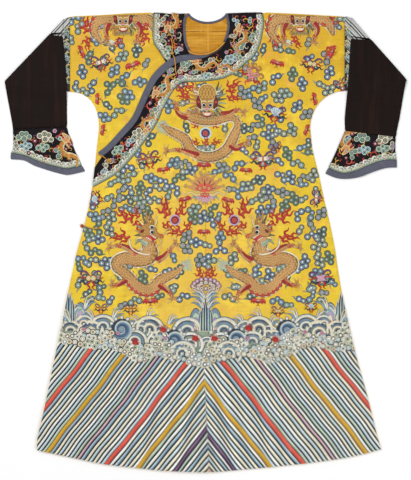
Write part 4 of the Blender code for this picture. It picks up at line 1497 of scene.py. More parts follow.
# Where the lobes of a cloud sit, in lobe widths, by their number
CLUSTERS = {
    1: ((0, 0),),
    2: ((-0.5, -0.1), (0.5, 0.15)),
    3: ((-0.92, -0.2), (0.0, 0.42), (0.92, -0.1)),
    4: ((-1.1, -0.1), (-0.15, 0.5), (0.9, 0.1), (0.1, -0.55)),
    5: ((-1.35, -0.2), (-0.5, 0.5), (0.5, 0.55), (1.35, -0.1), (0.05, -0.45)),
    6: ((-1.6, -0.1), (-0.75, 0.5), (0.25, 0.65), (1.2, 0.35), (-0.35, -0.5), (0.75, -0.5)),
}


# ---- Motifs, in millimetres round their own middle ----
LOBE_APART = (1.44, 1.66)  # across and up between the lobes of a cloud, in their radius
FLAME_STROKES = (  # route and width of the branches of a flame that is 48 mm tall
    (((3, -6), (14, -8), (17, 3), (28, 6)), 7.6), (((2, 8), (13, 8), (16, 18), (27, 23)), 7.2),
    (((6, 21), (16, 24), (17, 33), (26, 40)), 6.6), (((1, 4), (-10, 5), (-11, 15), (-19, 21)), 6.8),
)
PEARL_RADIUS, PEARL_RIM = 13, 17.5
TALONS = (-82, -40, 0, 40, 150)  # their directions round a dragon's foot
TALON_BEND = math.degrees(0.56)


def polar(reach, angle):
    """The place that far from the middle, in a direction in degrees."""
    return reach * math.cos(math.radians(angle)), reach * math.sin(math.radians(angle))


def cloud(spot, lobes, silks, size=10):
    """A cluster of ringed lobes with a trailing wisp."""
    rim, ring, _ = silks.split()
    places = [(x * LOBE_APART[0] * size, y * LOBE_APART[1] * size) for x, y in CLUSTERS[lobes]]
    hand = 1 if lobes % 2 else -1
    x = hand * (abs(places[-1][0]) * 0.6 + 4)
    wisp = ((x, -3), (x + hand * 9, -9), (x + hand * 16, -7), (x + hand * 22, -12))
    spot.ribbon(wisp, 5.6, (rim, ring), 0.18, 0.35, steps=3)
    for i, (x, y) in enumerate(places):
        spot.disc(x, y, size * (1 + 0.12 * math.sin(2.3 * i + lobes + x)), silks, 0.3 + 0.09 * i, 0.45)


def bat(spot):
    """Spread wings with scalloped edges, a round body and two ears."""
    for wing in spot.both():
        wing.patch(((1, 1), (4, 6.5), (9, 9), (14, 7), (17.5, 1.5), (16, -4.5), (12.8, -0.8), (9.5, -5.5),
                    (6.5, -1.4), (3.5, -4)), "maroon red")
        wing.ribbon(((2, 1), (7, 4.5), (12, 4.5), (15.5, 0)), 1.5, "pink", 0.75, 0.15, steps=3)
        wing.ribbon(((2, -1), (6, 0.6), (10, -2)), 1.2, "navy", 0.75, 0.15, steps=3)
        wing.ribbon(((0.5, 4), (2.6, 8), (5, 8.5)), 1.8, "maroon coral", 0.5, 0.3, steps=3)
        wing.ribbon(((0.5, -5), (2.5, -9), (6, -9.5)), 1.8, "maroon red", 0.4, 0.3, steps=3)
    spot.shape("dot", 0, 0, 4.2, "maroon coral", base=0.5, bulge=0.8)
    spot.disc(0, 3.4, 2.6, "maroon cream red", 0.9, 0.4)


def tongue(spot, silks="maroon red"):
    """A branching tongue of flame, rising along Y like an antler."""
    stem = ((-4, -14), (6, -5), (0, 6), (8, 17), (2, 28), (10, 39), (8, 48))
    for route, width in ((stem, 8.2), *FLAME_STROKES):
        spot.ribbon(route, width, silks, 0.35, 0.55, steps=3)
    spot.ribbon(((-2, -12), (5, -4), (1, 6), (7, 16), (2, 26)), 2, "coral", 0.85, 0.2, steps=2)


def pearl(spot, silks="navy coral ice"):
    """The pearl that dragons chase: a ringed disc with a spiral."""
    rim, swirl, ring = silks.split()
    spot.disc(0, 0, PEARL_RIM, ring, 0.5, 0.3)
    spot.disc(0, 0, PEARL_RADIUS, (rim, rim, "ink"), 0.7)
    turn = np.linspace(0.4, 4 * math.pi, 22)
    coil = np.stack((np.cos(turn), np.sin(turn)), axis=1) * (turn * 0.7)[:, None]
    spot.ribbon(coil, 3.6, swirl, 1.25, 0.35, steps=1)


def claw(spot, turn):
    """A dragon's foot with five spread talons."""
    foot = spot.spot(turn=turn)
    for angle in TALONS:
        reach = 21 if abs(angle) < 90 else 14
        bend = TALON_BEND if angle >= 0 else -TALON_BEND
        for shares, *look in (
            ((0, 0.35, 0.7, 1), 5.8, "brown fawn", 0.75, 0.6, 0.4),
            ((0.6, 0.9, 1.2), 2.6, "brown straw", 1.1, 0.4),
        ):
            foot.ribbon([polar(reach * share, angle + bend * share) for share in shares], *look, steps=3)
    foot.shape("dot", 0, 0, 5.4, "brown fawn", base=0.9, bulge=0.7, gilt=0.6)


def leg(spot, route, turn, flames=1, width=16):
    """A scaled leg along its route, with a flaming band at the shoulder and a clawed foot at its end."""
    spot.ribbon([(x, y, w * 1.15 + 0.08) for x, y, w in route], width, "straw", 0.5, 0.3, 0.3, 0.2, "none")
    spot.ribbon(route, width, "tan fawn", 0.6, 0.9, 0.8, 0.2, "none")
    path = through(route, 5)
    for before, (x, y, w), after in zip(path, path[1:], path[2:]):
        heading = math.atan2(after[1] - before[1], after[0] - before[0])
        for side in (-1, 0, 1):
            off = side * w * width * 0.3
            at_x, at_y = x - off * math.sin(heading), y + off * math.cos(heading)
            turn_here, level = math.degrees(heading) - 90, 1.3 - 0.3 * abs(side)
            spot.shape("scale", at_x, at_y, 5.4, "brown fawn straw", turn_here, level, 0.22, 0.8)
    reach = max(2, len(path) * 3 // 5)
    for i, (x, y, w) in enumerate(path[1:reach]):
        away = path[i + 2][:2] - path[i][:2]
        away = np.array((-away[1], away[0])) / max(np.hypot(*away), 1e-6) * flames * width * w * 0.36
        spot.disc(x + away[0], y + away[1], 6.8 - 4 * i / reach, "maroon red maroon", 1.5 - 0.02 * i)
    for at, size, lean in ((1, 0.42, 60), (reach, 0.4, 25)):
        x, y, _ = path[at]
        ahead = path[at + 1][:2] - path[at][:2]
        heading = math.degrees(math.atan2(ahead[1], ahead[0]))
        tongue(spot.spot(x, y, size, heading - 90 + lean * flames, flames, 0.9))
    claw(spot.spot(*route[-1][:2]), turn)


def scaled_body(spot, rows, red=(0.5, 0.85), grain=7.2):
    """A dragon's body along x, y, width rows: outline, ground, rows of scales, fins on back and belly."""
    curve = through(rows, 12)
    along = distances(curve)
    outline = [(x, y, w + 6.5) for x, y, w in rows]
    spot.ribbon(outline, 1, "straw brown cream", 0.15, 0.6, 0, 0.14, "none", steps=6)
    spot.ribbon(rows, 1, "brown tan", 0.5, 1.2, 0.8, 0.1, "none", steps=8)
    ahead = np.gradient(curve[:, :2], axis=0)
    ahead /= lengths(ahead)[:, None]
    belly = curve[:, :2] + columns(ahead[:, 1], -ahead[:, 0]) * (curve[:, 2:3] / 2 + 1.5)
    spot.ribbon(belly[8:-8:6], 4.2, "stone cream", 0.75, steps=3)
    for count, at in enumerate(np.arange(3, along[-1] - 2, grain * 0.9)):
        x, y, width = (np.interp(at, along, column) for column in curve.T)
        ahead_x, ahead_y = (np.interp(at + 1.5, along, column) for column in curve.T[:2])
        turn = math.atan2(ahead_y - y, ahead_x - x)
        up_x, up_y = -math.sin(turn), math.cos(turn)
        facing = math.degrees(turn)
        rows_across = max(1, int((width * 0.84) / grain))
        for j in range(rows_across):
            off = ((j + 0.5) / rows_across - 0.5) * width * 0.84 + (count % 2 - 0.5) * grain * 0.4
            high = 0.5 + 1.15 * (1 - (2 * off / width) ** 4)
            silks = ("brown fawn straw", "tan fawn straw")[j % 2]
            spot.shape("scale", x + up_x * off, y + up_y * off, grain, silks, facing - 90, high, 0.22, 0.75)
        out = width * 0.48
        if count % 2:
            x, y = x + up_x * out, y + up_y * out
            spot.shape("fin", x, y, grain * 1.1, "brown straw cream", facing + 24, 0.25, 0.3)
        elif red[0] < at / along[-1] < red[1]:
            x, y = x - up_x * out * 0.8, y - up_y * out * 0.8
            spot.disc(x, y, grain * 1.05, "maroon coral red", 1.2)
            spot.shape("fin", x, y, grain * 1.3, "maroon red coral", facing - 220, 0.5)


def mane(spot, strands, silks):
    """Locks of hair given as start, length, direction and bend."""
    for number, (x, y, length, angle, bend) in enumerate(strands):
        route = [(x, y)]
        for step in range(5):
            ahead = polar(length / 5, angle + bend * step / 5)
            route.append((route[-1][0] + ahead[0], route[-1][1] + ahead[1]))
        spot.ribbon(route, 7, silks[number % len(silks)], 0.45 + 0.05 * (number % 5), 0.6, 0.3, steps=2)


def eye(spot, x, y, size, high, look_x, look_y, pupil):
    spot.disc(x, y, size, "brown straw cream", high, 0.4)
    spot.disc(x, y, size - 1.4, "white", high + 0.3, 0.4)
    spot.shape("dot", x + look_x, y + look_y, pupil, "ink", base=high + 0.7, bulge=0.3)


def frontal_head(spot):
    """A dragon's head seen from the front, about 120 mm high with its beard."""
    locks = [(hand * 22, 32 - 6 * i, 44 - 1.5 * abs(i - 3), 90 - hand * (34 + 12 * i), hand * (30 - 7 * i))
             for i in range(11) for hand in (1, -1)]
    mane(spot, locks, ("deep moss", "brown tan", "deep haze", "brown fawn"))
    for i in range(9):
        x = (i - 4) * 5.4
        lock = ((x * 0.6, -38), (x, -47), (x * 1.4 + 2, -55), (x * 1.7, -62 + abs(x) * 0.6))
        spot.ribbon(lock, 5, ("brown tan", "deep haze")[i % 2], 0.9, 0.6, 0.3)
    for side in spot.both():
        side.ribbon(((20, 24), (29, 34), (38, 36), (45, 46)), 7.5, "brown cream", 1.1, 0.8, 0.1)
        side.ribbon(((26, 30), (33, 27), (42, 29)), 5, "brown cream", 1, 0.7, 0.1)
        cheek = ((17, 26), (25, 25), (33, 12), (33, -4), (27, -17), (18, -14), (20, 4))
        side.patch(cheek, "ink maroon", 1.1, 0.6, rim=2)
        side.disc(27, 3, 5.4, "maroon coral maroon", 1.7, 0.4)
        side.disc(25, 15, 4.4, "ink red maroon", 1.7, 0.4)
    face = ((14, 57), (25, 46), (29, 31), (25, 17), (20, 6), (19, -8), (15, -20))
    mirrored = [(-x, y) for x, y in face[::-1]]
    spot.patch(((0, 60), *face, (0, -24), *mirrored), "straw tan", 1.3, 1, 0.5, rim=2.6)
    for row, (y, half, count) in enumerate(((50, 8, 3), (42, 16, 4), (34, 20, 5), (26, 21, 5), (18, 15, 4))):
        for x in np.linspace(-half, half, count):
            spot.shape("scale", x, y, 10, "brown gold tan", 180, 2.34 + 0.05 * row, 0.5, 0.2)
    for side in spot.both():
        side.ribbon(((2, 2), (7, 6), (14, 5), (20, 10), (23, 18)), 5.6, "moss straw", 2.4, 0.6)
        eye(side, 10.5, -7, 7.6, 2.3, -0.3, -0.2, 5)
        side.ribbon(((4, -21), (13, -18), (22, -22), (30, -14), (38, -17)), 4.6, "brown cream", 2.5)
        side.ribbon(((12, -30), (24, -34), (36, -29), (47, -35), (56, -28)), 4.4, "brown tan", 1.6)
    nose = ((-6, -13), (6, -13), (9, -18), (5, -22), (-5, -22), (-9, -18))
    spot.patch(nose, "brown pink", 2.4, 0.8, rim=1.4)
    mouth = ((-15, -26), (0, -28), (15, -26), (15, -37), (8, -44), (-8, -44), (-15, -37))
    spot.patch(mouth, "brown maroon", 1.9, rim=1.2)
    teeth = ((-11, -29), (11, -29), (11, -37), (6, -41), (-6, -41), (-11, -37))
    spot.patch(teeth, "coral cream", 2.5, rim=2.2)
    for x in (-12, 12):
        spot.ribbon(((x, -27), (x * 1.05, -33), (x * 0.85, -38)), 3.4, "brown cream", 2.8, steps=3)


def profile_head(spot):
    """A dragon's head from the side, looking along X, about 90 mm long with its mane."""
    locks = [(-14 + 2 * i, 20 - 6.5 * i, 36 - 2 * i, 160 + 11 * i, -42 + 14 * i) for i in range(8)]
    mane(spot, locks, ("brown fawn", "deep moss", "brown straw", "deep haze"))
    spot.ribbon(((-4, 20), (-12, 31), (-24, 33), (-32, 42)), 7.6, "brown tan", 1, 0.8, 0.1)
    spot.ribbon(((2, 22), (-2, 34), (-10, 42), (-10, 52)), 7, "brown straw", 1.1, 0.8, 0.1)
    face = ((-24, 2), (-18, 19), (-4, 26), (9, 22), (19, 17), (29, 19), (33, 11), (27, 4), (14, 1), (4, -8),
            (-4, -20), (-18, -17))
    spot.patch(face, "brown tan", 1.3, 0.9, 0.5, rim=1.6)
    for x, y in ((-18, 4), (-12, 12), (-12, 2), (-16, -6), (-9, -4), (-5, 18), (-10, -12), (-4, -11),
                 (13, 15), (20, 11), (-19, 11)):
        spot.shape("scale", x, y, 5, "brown fawn gold", 100, 2.22, 0.3, 0.6)
    mouth = ((2, -5), (12, 1), (27, 3), (24, -6), (12, -11), (4, -14))
    spot.patch(mouth, "maroon red", 1.2, rim=0.9)
    jaw = ((-2, -14), (8, -13), (21, -9), (22, -14), (11, -21), (0, -24))
    spot.patch(jaw, "brown fawn", 1.3, 0.9, 0.5, rim=1)
    spot.ribbon(((4, -7), (14, -6), (24, -10), (31, -6), (38, -9)), 5.4, "maroon coral", 1.8, 0.6)
    for i in range(4):
        spot.shape("dot", 9 + 4.6 * i, 0.8 + 0.6 * i, 2.2, "cream white", base=2.1, bulge=0.4)
        spot.shape("dot", 6 + 4.4 * i, -12 + i, 2, "cream white", base=2.1, bulge=0.4)
    for x, y in ((-3, 17), (6, 8)):
        eye(spot, x, y, 7, 2.2, 1, 0, 4.4)
    spot.ribbon(((-8, 17), (-2, 22), (7, 25), (14, 23)), 4.8, "moss straw", 2.5, 0.6)
    spot.ribbon(((24, 15), (32, 20), (37, 15), (31, 11)), 4.6, "maroon coral", 2.3, 0.6, steps=3)
    spot.ribbon(((26, 16), (34, 26), (30, 38), (38, 46), (46, 42)), 4, "brown straw", 1.4, 0.5, 0.5)
    spot.ribbon(((26, 8), (40, 6), (46, -4), (56, -6)), 4, "brown straw", 1.4, 0.5, 0.5)
    spot.patch(((-18, -5), (-12, 0), (-9, -8), (-13, -14), (-18, -11)), "brown maroon", 2.1, rim=1.2)
    for i in range(5):
        beard = ((2 + 3.4 * i, -20 + i), (3 + 4 * i, -29), (8 + 4.6 * i, -35 + i))
        spot.ribbon(beard, 4.4, "moss mint", 1.2, 0.6, 0.3)


def lotus(spot, silks, size=1):
    """A lotus in full flower on scrolling leaves."""
    edge, pale, core = silks.split()
    for angle, reach, wide in ((78, 34, 9), (56, 33, 10), (34, 32, 11), (13, 31, 11), (0, 26, 11)):
        level = 0.3 + 0.012 * (90 - angle)
        right = [(wide * 0.45, reach * 0.4), (wide * 0.36, reach * 0.75)]
        outline = ((0, 0), *right, (0, reach), *[(-x, y) for x, y in right[::-1]])
        for turn in (angle, -angle) if angle else (0,):
            petal = spot.spot(0, -8, size, turn)
            petal.patch(outline, (edge, pale), level, 0.4)
            petal.ribbon(((0, 3), (0, reach * 0.5), (0, reach * 0.8)), wide * 0.34, core, level + 0.35, 0.2)
            petal.disc(0, reach + 1.5, 3.2, "brown straw maroon", level + 0.2, 0.3)
    for side in spot.both(0, -8, size):
        side.ribbon(((2, -3), (14, -9), (26, -4), (36, -9), (42, -2), (37, 3)), 4.6, (edge, "straw"), 0.5)
        side.ribbon(((4, -6), (12, -14), (22, -13), (27, -19)), 3.8, "navy sky", 0.45)
    spot.patch(((-15, -7), (-11, 2), (0, 5), (11, 2), (15, -7), (6, -11), (-6, -11)), "brown coral", 1.3)
    for x in (-8, 0, 8):
        spot.disc(x, -3 - abs(x) * 0.25, 3.4, "maroon straw red", 1.8, 0.3)


def scalloped_seat(spot):
    """A lotus seat: two arches of round petals over a row of small ones, on curling leaves."""
    for reach, count, silks in ((42, 9, "maroon lilac cream"), (24, 5, "slate cream rose")):
        for i in range(count):
            x, y = polar(reach, 180 * (i + 0.5) / count)
            spot.disc(x * 1.05, y * 0.66, 8.4, silks, 0.4 + 0.06 * (i % 3))
    for i in range(7):
        spot.disc((i - 3) * 13, -3, 7.6, ("brown cream maroon", "purple stone cream")[i % 2], 0.7, 0.4)
    for side in spot.both():
        side.ribbon(((30, -8), (44, -12), (56, -8), (60, 0), (54, 3)), 5, "brown straw", 0.4)
        side.ribbon(((4, -9), (20, -13), (34, -10), (44, -15)), 4.6, "purple lilac", 0.35)


def knot_emblem(spot, silks):
    """An endless knot: crossing loops with ribbons flying from it."""
    for side, level in zip(spot.both(), (0.7, 0.5)):
        side.ribbon(((10, 6), (21, 13), (29, 9), (25, 2), (20, 7)), 6, "brown tan", 0.4, steps=5)
        side.ribbon(((10, -6), (19, -14), (25, -6), (33, -12), (38, -6)), 6, "maroon red", 0.4)
        side.ribbon(((6, 13), (12, 22), (6, 27), (1, 21)), 5.6, "brown tan", 0.4)
        loop = ((-11, -13), (0, -2), (11, 9), (16, 4), (11, -1), (0, -12))
        side.ribbon(loop, 5.4, silks, level, taper="none")
        side.ribbon(((-11, 9), (-4, 17), (4, 17), (11, 9)), 5, silks, 0.55, taper="none")
    spot.ribbon(((0, -10), (4, -20), (-3, -26), (3, -34)), 6, "maroon coral", 0.4)


def treasure(spot, kind):
    """One of the lucky objects, in flying ribbons: coins, scroll, fan, gourd, or crossed lozenges."""
    for side in spot.both():
        side.ribbon(((4, 6), (13, 16), (22, 18), (27, 11), (20, 7), (18, 14)), 6, "ink purple", 0.35, steps=5)
        side.ribbon(((5, -6), (15, -13), (23, -5), (30, -11), (36, -5)), 6, "ink slate", 0.35)
        side.ribbon(((2, -9), (9, -17), (3, -24), (10, -30)), 5.6, "maroon red")
        side.ribbon(((8, 0), (18, 3), (26, -1), (34, 4)), 5, "maroon red")
    if kind == "coins":
        for x in (-6, 6):
            spot.disc(x, 0, 8.5, "brown straw cream", 0.7 + 0.02 * x, 0.5, 0.4)
    elif kind == "scroll":
        spot.patch(((-13, -7), (13, -4), (13, 7), (-13, 4)), "brown cream", 0.6, 0.6, curved=0)
        for x in (-13, 13):
            spot.disc(x, x * 0.1, 5.2, "brown lilac cream", 0.9)
        spot.ribbon(((0, -7), (0, 0), (0, 6)), 4.6, "maroon red", 1.2, 0.3, taper="none")
    elif kind == "fan":
        spot.patch(((-15, 5), (-9, 13), (0, 16), (9, 13), (15, 5), (3, -8), (-3, -8)), "navy ice", 0.6, 0.6)
        for x in (-9, -3, 3, 9):
            spot.ribbon(((x * 0.2, -7), (x, 11)), 1.4, "purple", 1.15, 0.2, taper="none")
        spot.ribbon(((0, -8), (1, -18), (-1, -25)), 3.4, "brown gold", 0.8)
    elif kind == "gourd":
        spot.disc(0, -5, 9.6, "brown gold straw", 0.6, 0.8, 0.3)
        spot.disc(0, 9, 6.2, "brown gold straw", 0.65, 0.7, 0.3)
        spot.ribbon(((-6, 2.5), (0, 3.6), (6, 2.5)), 3.2, "maroon red", 1.5, 0.3, taper="none")
        spot.ribbon(((0, 14), (2, 19), (7, 21)), 3, "moss leaf", 0.9, 0.4)
    else:
        for turn in (32, -32):
            lozenge = spot.spot(turn=turn)
            level = turn * 0.004
            lozenge.patch(((-16, 0), (0, 7.5), (16, 0), (0, -7.5)), "purple rose", 0.6 + level, curved=0)
            lozenge.patch(((-8, 0), (0, 3.8), (8, 0), (0, -3.8)), "purple cream", 1.1 + level, 0.3, curved=0)


def flower(spot, silks):
    """A small round blossom of six petals."""
    edge, pale, core = silks.split()
    for i in range(6):
        spot.disc(*polar(5, 60 * i), 4, (edge, pale, pale), 0.4 + 0.04 * i, 0.4)
    spot.disc(0, 0, 3.4, (core, core, "cream"), 0.85, 0.4)


# ---- Sea and mountains ----
def swell(spot, radius, silks):
    """A round swell of the sea: a thick pale crest over darker crescents, with dark lines between."""
    angles = np.radians(np.linspace(205, -25, 15))
    arc = np.stack((np.cos(angles) * 1.12, np.sin(angles)), axis=1)
    crest, water, deep = silks.split()
    for band, (r, width, colours) in enumerate((
        (0.94, 0.30, ("white", crest, water)), (0.66, 0.28, (water, deep, "slate")),
        (0.42, 0.24, ("white", crest, water)), (0.2, 0.22, (deep, "slate", water)),
    )):
        level, taper = 0.1 * band, "both" if band == 1 else "none"
        spot.ribbon(arc * radius * r, radius * width, colours, 0.55 + level, 0.6, 0, 0.4, taper, 2, True)
        spot.ribbon(arc * radius * (r + width * 0.55), 1.7, "slate", 0.64 + level, 0.25, 0, 0.5, "none", 2)


def spiral(spot, radius):
    """A wave that curls into a spiral, with foam along its crest."""
    turn = np.linspace(0, 3.6 * math.pi, 40)
    r = radius * (1 - turn / turn[-1] * 0.9)
    route = np.stack((r * np.cos(turn + 3.4), r * np.sin(turn + 3.4)), axis=1)
    spot.disc(0, 0, radius * 1.05, "slate blue steel", 0.5, 0.3)
    spot.ribbon(route, radius * 0.44, "cream sky navy", 0.8, 0.5, 0, 0.5, "end", 1, True)
    for angle in range(150, -1, -30):
        spot.disc(*polar(radius * 1.12, angle), radius * 0.2, "blue cream white", 1.1 + angle * 0.001, 0.4)


def plume(spot, height, lean=1):
    """Spray thrown up from a wave, curling over."""
    for i, silks in enumerate(("ink cream", "slate white", "ink sky")):
        reach = height * (1 - 0.24 * i)
        shape = ((3 * i, 0), (4 + 5 * i, 0.45), (9 + 7 * i, 0.85), (18 + 8 * i, 1), (25 + 8 * i, 0.82))
        spot.ribbon([(x * lean, y * reach) for x, y in shape], 8, silks, 0.5 + 0.1 * i, edge=0.42)


def peak(spot, width, height, heart="red"):
    """A mountain peak: upright nested bands with a coloured heart."""
    for i, silks in enumerate(("slate steel", "ink mint", "slate lilac", "maroon cream", "maroon " + heart)):
        w, h = width / 2 * (1 - i * 0.2), height * (1 - i * 0.19)
        side = ((1, 0), (0.95, 0.5), (0.55, 0.86))
        outline = [*((-x, y) for x, y in side), (0, 1), *side[::-1]]
        spot.patch([(x * w, y * h) for x, y in outline], silks, 0.4 + 0.14 * i, 0.3, rim=2.1)


def crag(spot, width, height):
    """The tall rock between the peaks: sharp upright blades."""
    for i, (at, tall) in enumerate(((-0.36, 0.62), (0.36, 0.66), (-0.18, 0.85), (0.2, 0.88), (0, 1))):
        x, w, h = at * width, width * 0.17, tall * height
        blade = ((x - w, 0), (x - w * 0.9, h * 0.6), (x, h), (x + w * 0.9, h * 0.6), (x + w, 0))
        silks = ("cream blue", "cream navy", "cream slate")[i % 3]
        spot.patch(blade, silks, 0.9 + 0.12 * i, 0.35, curved=1, rim=1.5)
        spot.ribbon(((x, 0), (x, h * 0.5), (x, h * 0.8)), w * 0.6, "sky mint", 1.3 + 0.12 * i, 0.2)


# ---- Cords, knots and button ----
def cord_tree():
    """Twists three thin strands round a line."""
    maker = Maker("twisted cord", Radius=("Float", 1.6), Twist=("Float", 0.85))
    radius = maker.given["Radius"]
    fine = maker.node("GeometryNodeResampleCurve", {"mode": "LENGTH"}, {"Curve": maker.line(), "Length": 0.8})
    normal, tangent = maker.node("GeometryNodeInputNormal"), maker.node("GeometryNodeInputTangent")
    side = maker.vector("CROSS_PRODUCT", tangent, normal)
    length = maker.node("GeometryNodeSplineParameter", output="Length")
    size = {"Resolution": 7, "Radius": radius * 0.54}
    section = maker.node("GeometryNodeCurvePrimitiveCircle", None, size, "Curve")
    bundle = maker.tree.nodes.new("GeometryNodeJoinGeometry")
    for strand in range(3):
        angle = length * maker.given["Twist"] + strand * TURN / 3
        arms = ((normal, (angle + TURN / 4).wave()), (side, angle.wave()))
        offset = maker.vector("ADD", *(maker.scaled(axis, wave * radius * 0.5) for axis, wave in arms))
        moved = maker.node("GeometryNodeSetPosition", None, {"Geometry": fine, "Offset": offset})
        inputs = {"Curve": moved, "Profile Curve": section, "Fill Caps": True}
        body = maker.node("GeometryNodeCurveToMesh", None, inputs)
        maker.tree.links.new(body.socket, bundle.inputs[0])
    return maker.end(Value(maker, bundle.outputs[0]))


def cord(name, route, silk, replaces, radius=CORD, stands_in=True):
    """A twisted cord along a route in millimetres."""
    mesh = grown(route, chained([route]), {}, tree_named("twisted cord", cord_tree), Radius=radius)
    mesh.transform(Matrix.Scale(MM, 4))
    return new_piece(name, mesh, silk, (replaces,) if stands_in else ())


def on_cloth(route):
    """A cord's route raised to lie on the front."""
    rows = through(route, 6)
    return np.column_stack((rows, on_overlap(*rows.T) + CORD + 0.4))


NECK_PIPING = (-54, 596), (-43, 589), (-28, 585), (-9, 585), (10, 588), (29, 597), (44, 609), (58, 623)


def on_ball(x, y, z, reach, turn, tilt):
    """The places that far from a middle, in directions round it and up."""
    return (
        x + reach * np.cos(tilt) * np.cos(turn), y + reach * np.cos(tilt) * np.sin(turn),
        z + reach * np.sin(tilt),
    )


def wound(x, y, z, radius, turns=4, swing=1.05):
    """The path of a cord that is wound into a ball."""
    t = np.linspace(0, TURN * turns, 34 * turns)
    lift = swing * np.sin(t * (turns + 1) / turns)
    return np.column_stack(on_ball(x, y, z, radius - CORD * 0.9, t, lift))


def gilt_ball(name, x, y, radius, gilt, replaces):
    """A cast button: a ball with raised petals round its top and foot and a beaded girdle."""
    around, up = 64, 31
    turn = TURN * np.arange(around) / around
    turn, tilt = np.meshgrid(turn, np.linspace(-np.pi / 2, np.pi / 2, up + 2)[1:-1])
    petals = np.abs(np.sin(turn * 4)) ** 0.5 * np.cos(tilt) * np.clip(np.abs(tilt) - 0.3, 0, 0.5)
    beads = (0.5 + 0.5 * np.cos(turn * 20)) * np.exp(-((tilt / 0.13) ** 2))
    reach = radius * (0.93 + 0.1 * petals + 0.06 * beads)
    grid = np.stack(on_ball(x, y, radius, reach, turn, tilt), axis=-1)
    points = [(x, y, radius * 0.07), *grid.reshape(-1, 3).tolist(), (x, y, radius * 1.93)]
    last = len(points) - 1 - around
    faces = []
    for i in range(around):
        j = (i + 1) % around
        faces += [(0, 1 + j, 1 + i), (last + around, last + i, last + j)]
        faces += [(row + i, row + j, row + around + j, row + around + i) for row in range(1, last, around)]
    mesh = bpy.data.meshes.new(name)
    mesh.from_pydata((np.array(points) * MM).tolist(), [], faces)
    return new_piece(name, mesh, gilt, (replaces,))


